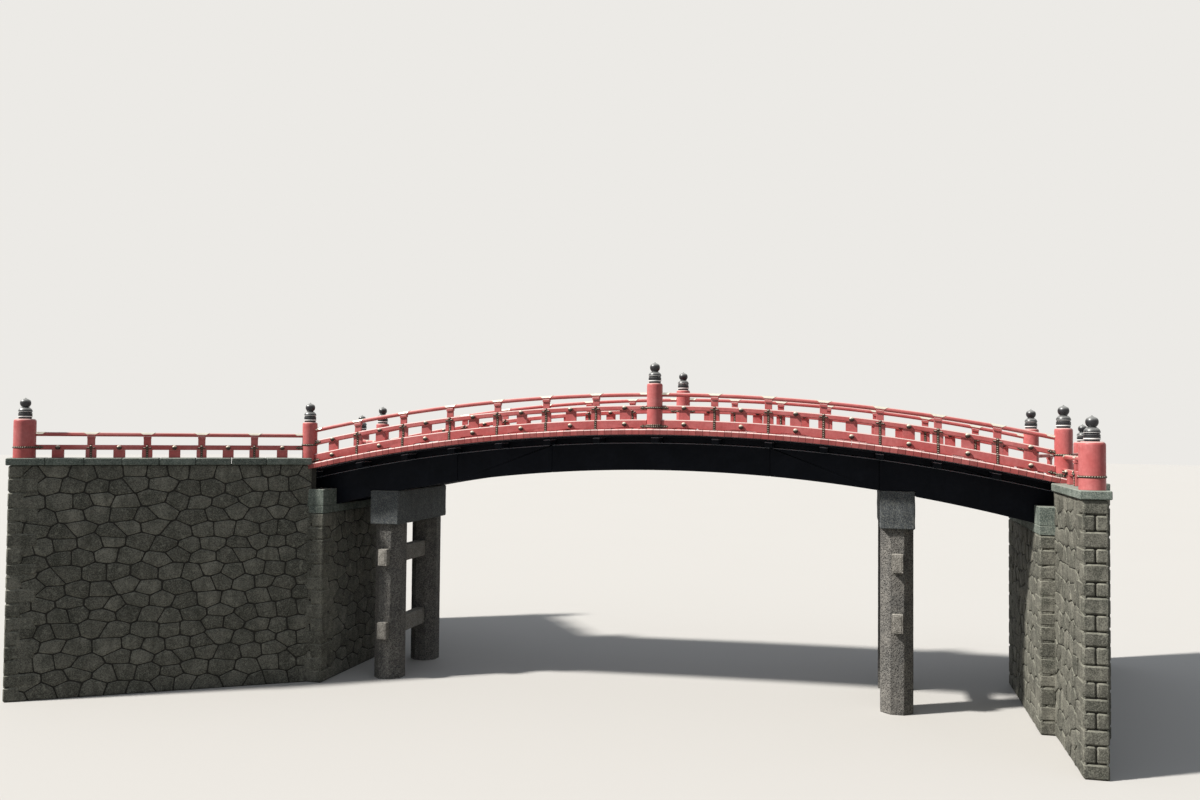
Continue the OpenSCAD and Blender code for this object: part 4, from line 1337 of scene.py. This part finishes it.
    def block(self, shape: Shape, place: Place, low: Point, high: Point, edge: float, rough: float,
              cell: float = 0.22, tone: Optional[float] = None, margin: float = 0.0) -> None:
        """Adds a squared block with worn edges and slightly uneven faces.

        Args:
            shape: gets the block.
            place: turns the block's own x, y, z into a point.
            low: lowest corner.
            high: highest corner.
            edge: width of the worn edges.
            rough: how far its faces wander.
            cell: distance between the points of a face.
            tone: light or dark of the block, by chance if left out.
            margin: width of a smooth margin round each face, set back from its rough middle.
        """
        wave = self.chance.uniform(0, 90)
        grid = []
        for a, b in zip(low, high):
            worn = min(edge, (b - a) * 0.3)
            inner = self.marks(a, b, worn, cell)
            if margin:
                middle, step = self.marks(a, b, worn + margin, cell), self.margin_bevel
                inner = [inner[0], middle[0] - step, *middle, middle[-1] + step, inner[-1]]
            grid.append([a, *inner, b])
        last = [len(marks) - 1 for marks in grid]
        index: dict[tuple[int, ...], int] = {}
        verts: list[Vector] = []

        def corner(key: tuple[int, ...]) -> int:
            """Number of a surface point, made when it is first met."""
            if key not in index:
                v = [marks[k] for marks, k in zip(grid, key)]
                ends = [n for n in range(3) if key[n] in (0, last[n])]
                ways = [1 if k == 0 else -1 for k in key]
                # Edges and corners step in, which rounds them
                for n in ends if len(ends) > 1 else ():
                    v[n] += ways[n] * edge * (0.42 if len(ends) == 2 else 0.55)
                rims = [n for n in range(3) if n not in ends and min(key[n], last[n] - key[n]) in (1, 2)]
                framed = margin and (rims or len(ends) > 1)
                for n in ends:
                    wander = noise.noise(Vector((v[0] * 4 + wave, v[1] * 4, v[2] * 4 + n * 7)))
                    v[n] += ways[n] * (self.margin_depth if framed else rough * (1 - wander) / 2)
                index[key] = len(verts)
                verts.append(place(*v))
            return index[key]

        faces = []
        for n in range(3):
            a, b = (n + 1) % 3, (n + 2) % 3
            for side in (0, last[n]):
                for i, j in ((i, j) for i in range(last[a]) for j in range(last[b])):
                    quad = []
                    for di, dj in ((0, 0), (1, 0), (1, 1), (0, 1)):
                        key = {n: side, a: i + di, b: j + dj}
                        quad.append(corner((key[0], key[1], key[2])))
                    faces.append(quad if side else quad[::-1])
        shape.add(verts, faces, self.chance.uniform(-0.4, 0.4) if tone is None else tone)


@dataclass
class Masonry:
    """What the stone classes of one end share."""

    line: BridgeLine
    end: End
    cutter: Stonecutter
    # How far the packing lies behind the faces of the stones
    core: float = 0.06

    @property
    def name(self) -> str:
        """The end's name, as the nodes have it."""
        return self.end.name.lower()


@dataclass
class Abutment(Masonry):
    """One abutment: a faced block with the pocket that takes the girders, and a wall behind the deck."""

    pocket_gap: float = 0.04
    slab_t: float = 0.3
    slabs: int = 6
    slab_joint: float = 0.004
    # How far the bed stones and their packing run in under the sill
    slab_tail: float = 0.05
    core_tail: float = 0.1
    first_shoulder: float = 0.72
    shoulder_joint: float = 0.01

    def place(self, x: float, y: float, z: float) -> Vector:
        """Point from distances past mid-span, across, and up."""
        return Vector((self.line.mid_x + self.end.value * x, y, z))

    def build(self) -> None:
        """Builds the stones, the slabs and the core behind them."""
        line, cutter, cap, c = self.line, self.cutter, self.slab_t, self.core
        half, back = line.deck_w / 2, line.deck_len / 2
        front, rear = back - line.abutment_seat, back + line.back_wall_t
        seat, top = line.girder_bottom(front), line.height(back, line.deck_t)
        first, shoulder = front + self.first_shoulder, line.crown - line.shoulder_drop
        stones, slabs, core = Shape(), Shape(), Shape()
        beds = cutter.courses(0.0, seat - cap)
        high = beds + cutter.courses(seat - cap, top - cap)[1:]
        cutter.rubble(stones, lambda u, z, d: self.place(front - d, u, z), (-half, half), (0.0, seat - cap))
        cutter.rubble(stones, lambda u, z, d: self.place(rear + d, u, z), (-half, half), (0.0, top - cap))
        for side in (-1, 1):
            flank = lambda u, z, d, side=side: self.place(u, side * (half + d), z)
            cutter.rubble(stones, flank, (front, rear), (0.0, seat - cap))
            cutter.rubble(stones, flank, (back, rear), (seat - cap, top - cap))
            cutter.corner(stones, self.place, (front, side * half), (1, -side), beds)
            cutter.corner(stones, self.place, (rear, side * half), (-1, -side), high)
        # Bed stones under the girders, shoulder stones beside them, and the sill stones behind the deck
        for i in range(self.slabs):
            a = -half + 2 * half * i / self.slabs + self.slab_joint
            b = -half + 2 * half * (i + 1) / self.slabs - self.slab_joint
            inner = back + self.slab_tail
            cutter.block(slabs, self.place, (front, a, seat - cap), (inner, b, seat), edge=0.02, rough=0.01)
            cutter.block(slabs, self.place, (back, a, top - cap), (rear, b, top), edge=0.02, rough=0.008)
        for side in (-1, 1):
            low, outer = sorted((side * (line.girder_half_span + self.pocket_gap), side * half))
            for a, b in ((front, first), (first + self.shoulder_joint, back)):
                cutter.block(slabs, self.place, (a, low, seat), (b, outer, shoulder), edge=0.02, rough=0.01)
        core.box(self.place, (front + c, c - half, 0.0), (back + self.core_tail, half - c, seat - c / 2))
        core.box(self.place, (back + c, c - half, 0.0), (rear - c, half - c, top - c / 2))
        stones.piece("abutment_stones_" + self.name, WALLING, "abutment_" + self.name)
        slabs.piece("abutment_slabs_" + self.name, COPING)
        core.piece("abutment_core_" + self.name, PACKING)


@dataclass
class WingStones(Masonry):
    """The walls and copings that carry one end's two wing railings."""

    stone_len: float = 1.3
    first_stone: float = 0.35
    joint: float = 0.004
    # Half the joint between two stones side by side
    bond_joint: float = 0.008
    # Room between the copings and the abutment
    gap: float = 0.01
    # How far the facing and the packing reach into the abutment, and the packing up into the coping
    let_in: float = 0.1
    core_let_in: float = 0.25
    core_rise: float = 0.02

    def start(self, wing: Wing, y: float, gap: float = 0.0) -> float:
        """Where a line along a wing, y out from its middle, leaves the abutment, with a gap."""
        line, c, s = self.line, math.cos(wing.splay), math.sin(wing.splay)
        by_side = (line.deck_w / 2 + gap - line.rail_line - y * c) / s
        return min(by_side, (line.deck_len / 2 + line.back_wall_t + gap - line.end_post + y * s) / c)

    def build(self) -> None:
        """Builds the walls, their cores and the copings."""
        line, cutter = self.line, self.cutter
        walls, cores, copings = Shape(), Shape(), Shape()
        for side in Side:
            wing = Wing(line, side, self.end)
            end = wing.length + line.wall_end
            wall_end, half = end - (line.coping_w - line.wall_t) / 2, line.wall_t / 2
            foot, top = -wing.coping_top, -line.coping_t
            begins = [self.start(wing, half), self.start(wing, -half)]
            beds = cutter.courses(foot, top)
            for way, begin in zip((1, -1), begins):
                face = lambda u, z, d, way=way: wing.point(u, way * (half + d), z)
                cutter.rubble(walls, face, (begin - self.let_in, wall_end), (foot, top))
            for k, (low, high) in enumerate(zip(beds, beds[1:])):
                # A bonder through the whole wall, then two long stones side by side
                bond, joint = wall_end - cutter.quoin[0 if k % 2 else 1], self.bond_joint
                for a, b in ((-half, -joint), (joint, half)) if k % 2 else ((-half, half),):
                    cutter.quoin_stone(walls, wing.point, (bond, a, low), (wall_end, b, high))
            cores.box(wing.point, (min(begins) - self.core_let_in, self.core - half, foot),
                      (wall_end - self.core, half - self.core, top + self.core_rise))
            self.coping(copings, wing, end)
        walls.piece("wing_wall_stones_" + self.name, WALLING, "wing_walls_" + self.name)
        cores.piece("wing_wall_core_" + self.name, PACKING)
        copings.piece("coping_stones_" + self.name, COPING, "copings_" + self.name)

    def coping(self, shape: Shape, wing: Wing, end: float) -> None:
        """Lays the coping stones of one wing, the first cut to the side of the bridge.

        Args:
            shape: gets the stones.
            wing: the wing.
            end: where the coping ends.
        """
        half, lowest = self.line.coping_w / 2, -self.line.coping_t
        first = max(self.start(wing, y, self.gap) for y in (half, -half)) + self.first_stone
        count = max(2, round((end - first) / self.stone_len))
        joints = [first, *(first + (end - first) * (i + 1) / count for i in range(count))]

        def skewed(x: float, y: float, z: float) -> Vector:
            """Point of the first stone, whose near end follows the bridge."""
            return wing.point(x + self.start(wing, y, self.gap) * ((first - x) / first), y, z)

        stones = [(skewed, 0.0, first)]
        stones += [(wing.point, a + self.joint, b) for a, b in zip(joints, joints[1:])]
        for place, a, b in stones:
            low, high = (a, -half, lowest), (b - self.joint, half, 0.0)
            self.cutter.block(shape, place, low, high, edge=0.03, rough=0.01)


# Distance from mid-span, and heights of the middles of the tie stones, for each pier
PIERS: dict[End, tuple[float, Pair]] = {End.LEFT: (10.62, (4.65, 1.87)), End.RIGHT: (8.27, (5.145, 3.11))}


@dataclass
class Pier(Masonry):
    """A stone pier: two eight-sided columns, tie stones through them and a great cap stone."""

    cap_w: float = 1.17
    cap_h: float = 1.31
    overhang: float = 0.04
    column_w: float = 1.1
    column_inset: float = 0.72
    column_step: float = 0.16
    # Worn arrises in shares of a column's radius, and how far its faces wander in broad and in small waves
    arris: float = 0.989
    waves: Pair = (0.012, 0.006)
    tie_w: float = 0.39
    tie_h: float = 0.645
    tie_end: float = 0.28

    @property
    def x(self) -> float:
        """Distance from mid-span."""
        return PIERS[self.end][0]

    def place(self, x: float, y: float, z: float) -> Vector:
        """Point from the pier's own middle."""
        return Vector((self.line.mid_x + self.end.value * self.x + x, y, z))

    def column(self, shape: Shape, y: float, height: float, wave: float) -> None:
        """Adds an eight-sided column with worn arrises and picked, slightly uneven faces.

        Args:
            shape: gets the column.
            y: its place across the bridge.
            height: its height.
            wave: where its unevenness is read from.
        """
        across, eighth = self.column_w / 2, math.pi / 8
        flat, section = across * math.tan(eighth), []
        for a in [2 * eighth * k for k in range(8)]:
            c, s = math.cos(a), math.sin(a)
            section += [(c * across - s * flat * share, s * across + c * flat * share)
                        for share in (-0.94, -0.55, -0.18, 0.18, 0.55, 0.94)]
            reach = across / math.cos(eighth) * self.arris
            section.append((math.cos(a + eighth) * reach, math.sin(a + eighth) * reach))
        rows = round(height / self.column_step)
        rings = []
        for z in [height * j / rows for j in range(rows + 1)]:
            ring = []
            for u, v in section:
                p = Vector((u * 5 + wave, v * 5, z * 5))
                broad, small = (depth * (0.5 + 0.5 * noise.noise(q))
                                for depth, q in zip(self.waves, (p, p * 3)))
                k = 1 - broad - small
                ring.append(self.place(u * k, y + v * k, z))
            rings.append(ring)
        shape.skin(rings, capped=True)

    def build(self) -> None:
        """Builds the pier."""
        cap_len = 2 * (self.line.girder_half_span + self.overhang)
        top, pitch = self.line.girder_bottom(self.x - self.cap_w / 2), cap_len - 2 * self.column_inset
        foot, half = top - self.cap_h, self.cap_w / 2
        cap, columns, ties = Shape(), Shape(), Shape()
        low, high = (-half, -cap_len / 2, foot), (half, cap_len / 2, top)
        self.cutter.block(cap, self.place, low, high, edge=0.045, rough=0.022, cell=0.11, tone=0.1)
        for k, side in enumerate((-1, 1)):
            self.column(columns, side * pitch / 2, foot, 3.0 * k + self.x)
        reach = (self.tie_w / 2, (pitch + self.column_w + 2 * self.tie_end) / 2, self.tie_h / 2)
        for z in PIERS[self.end][1]:
            low, high = (-reach[0], -reach[1], z - reach[2]), (reach[0], reach[1], z + reach[2])
            self.cutter.block(ties, self.place, low, high, edge=0.02, rough=0.02, cell=0.07, tone=0.2,
                              margin=0.045)
        cap.piece("pier_cap_stone_" + self.name, CAP_GRANITE, "pier_cap_" + self.name)
        columns.piece("pier_column_stones_" + self.name, COLUMN_GRANITE, "pier_columns_" + self.name,
                      angle=14.0)
        ties.piece("pier_tie_stones_" + self.name, TIE_GRANITE, "pier_ties_" + self.name)


@dataclass(frozen=True)
class Studio:
    """Pale floor, sun-like key light, soft sky and the camera of the photograph."""

    place: Point = (6.80302, -39.391, 9.5811)
    yaw: float = 0.238045438
    pitch: float = 0.0288140135
    roll: float = -0.00908849396
    lens: float = 31.341
    toward_sun: Point = (-0.65, -0.36, 0.67)
    sun: float = 5.4
    sun_angle: float = 4.0
    sky: float = 0.38
    floor_radius: float = 350.0
    floor_sides: int = 128

    def camera(self, mid_x: float) -> None:
        """Sets the camera, whose place is measured from mid-span."""
        data = bpy.data.cameras.new("view")
        data.lens, data.sensor_width, data.clip_end = self.lens, 36.0, 2 * self.floor_radius
        yaw, pitch, roll = (Matrix.Rotation(angle, 3, axis)
                            for angle, axis in ((self.yaw, "Z"), (self.pitch, "X"), (self.roll, "Y")))
        turn = yaw @ pitch @ roll
        right, forward, up = (turn.col[i].copy() for i in range(3))
        frame = Matrix((right, up, -forward)).transposed().to_4x4()
        frame.translation = Vector(self.place) + Vector((mid_x, 0.0, 0.0))
        eye = link("view", data)
        eye.matrix_world = frame
        bpy.context.scene.camera = eye

    def lights(self) -> None:
        """Sets the sun and the sky, which the camera sees as a plain pale backdrop."""
        data = bpy.data.lights.new("key", "SUN")
        data.energy, data.angle, data.color = self.sun, math.radians(self.sun_angle), (1.0, 0.975, 0.935)
        link("key", data).rotation_euler = Vector(self.toward_sun).to_track_quat("Z", "Y").to_euler()
        world = bpy.data.worlds.new("sky")
        world.use_nodes = True
        bpy.context.scene.world = world
        sky = Nodes(world.node_tree)
        light = sky.add("ShaderNodeBackground", ("#DDE6F2", self.sky))
        seen = sky.add("ShaderNodeBackground", ("#ECEAE6", 1.0))
        mixed = sky.add("ShaderNodeMixShader", (self.in_view(sky), light, seen))
        sky.feed(sky.tree.nodes["World Output"].inputs["Surface"], mixed)

    @staticmethod
    def in_view(nodes: Nodes) -> Socket:
        """One for what the camera sees straight, mirrored or through glass, nought for light that bounces."""
        rays = nodes.add("ShaderNodeLightPath", output="Is Camera Ray")
        others = [rays.node.outputs[name] for name in ("Is Glossy Ray", "Is Transmission Ray")]
        return nodes.sums(rays, *(("MAXIMUM", other) for other in others))

    def floor(self, mid_x: float) -> None:
        """Lays the pale floor under the piers and walls, darker for the light that bounces off it."""
        turns = [2 * math.pi * i / self.floor_sides for i in range(self.floor_sides)]
        rim = [(mid_x + self.floor_radius * math.cos(a), self.floor_radius * math.sin(a), 0.0) for a in turns]
        s = Surface("matt_studio_floor", "#CBC8C3")
        s.layer("#C4C1BB", 0.2, s.patches(0.08, 3))
        s.layer("#77756F", 1.0, s.sums(1.0, ("SUBTRACT", self.in_view(s))))
        mesh = Shape(rim, [tuple(range(self.floor_sides))]).mesh("studio_floor", 35)
        mesh.materials.append(s.close(Roughness=0.95))
        link("studio_floor", mesh)

    def build(self, mid_x: float) -> None:
        """Sets up the view."""
        bpy.context.scene.view_settings.view_transform = "Standard"
        self.floor(mid_x)
        self.lights()
        self.camera(mid_x)


def main(frame: dict) -> None:
    """Builds the dress of the whole bridge.

    Args:
        frame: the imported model.
    """
    logging.basicConfig(level=logging.INFO, format="%(message)s")
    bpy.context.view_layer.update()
    line, cutter, fittings = BridgeLine(), Stonecutter(), Fittings()
    runs = [Run(line, side) for side in Side]
    wings = [Wing(line, side, end) for end in End for side in Side]
    Timber(line, frame["nodes"]).build()
    Planking(line).build()
    RoundPosts(line, fittings).build(runs, wings)
    for name, group in (("near", runs[:1]), ("far", runs[1:]), ("wings", wings)):
        Metalwork(line, fittings, name, group).build()
    for end in End:
        for kind in (Abutment, WingStones, Pier):
            kind(line, end, cutter).build()
    Studio().build(line.mid_x)
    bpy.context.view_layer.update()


if __name__ == "__main__":
    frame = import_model()
    main(frame)
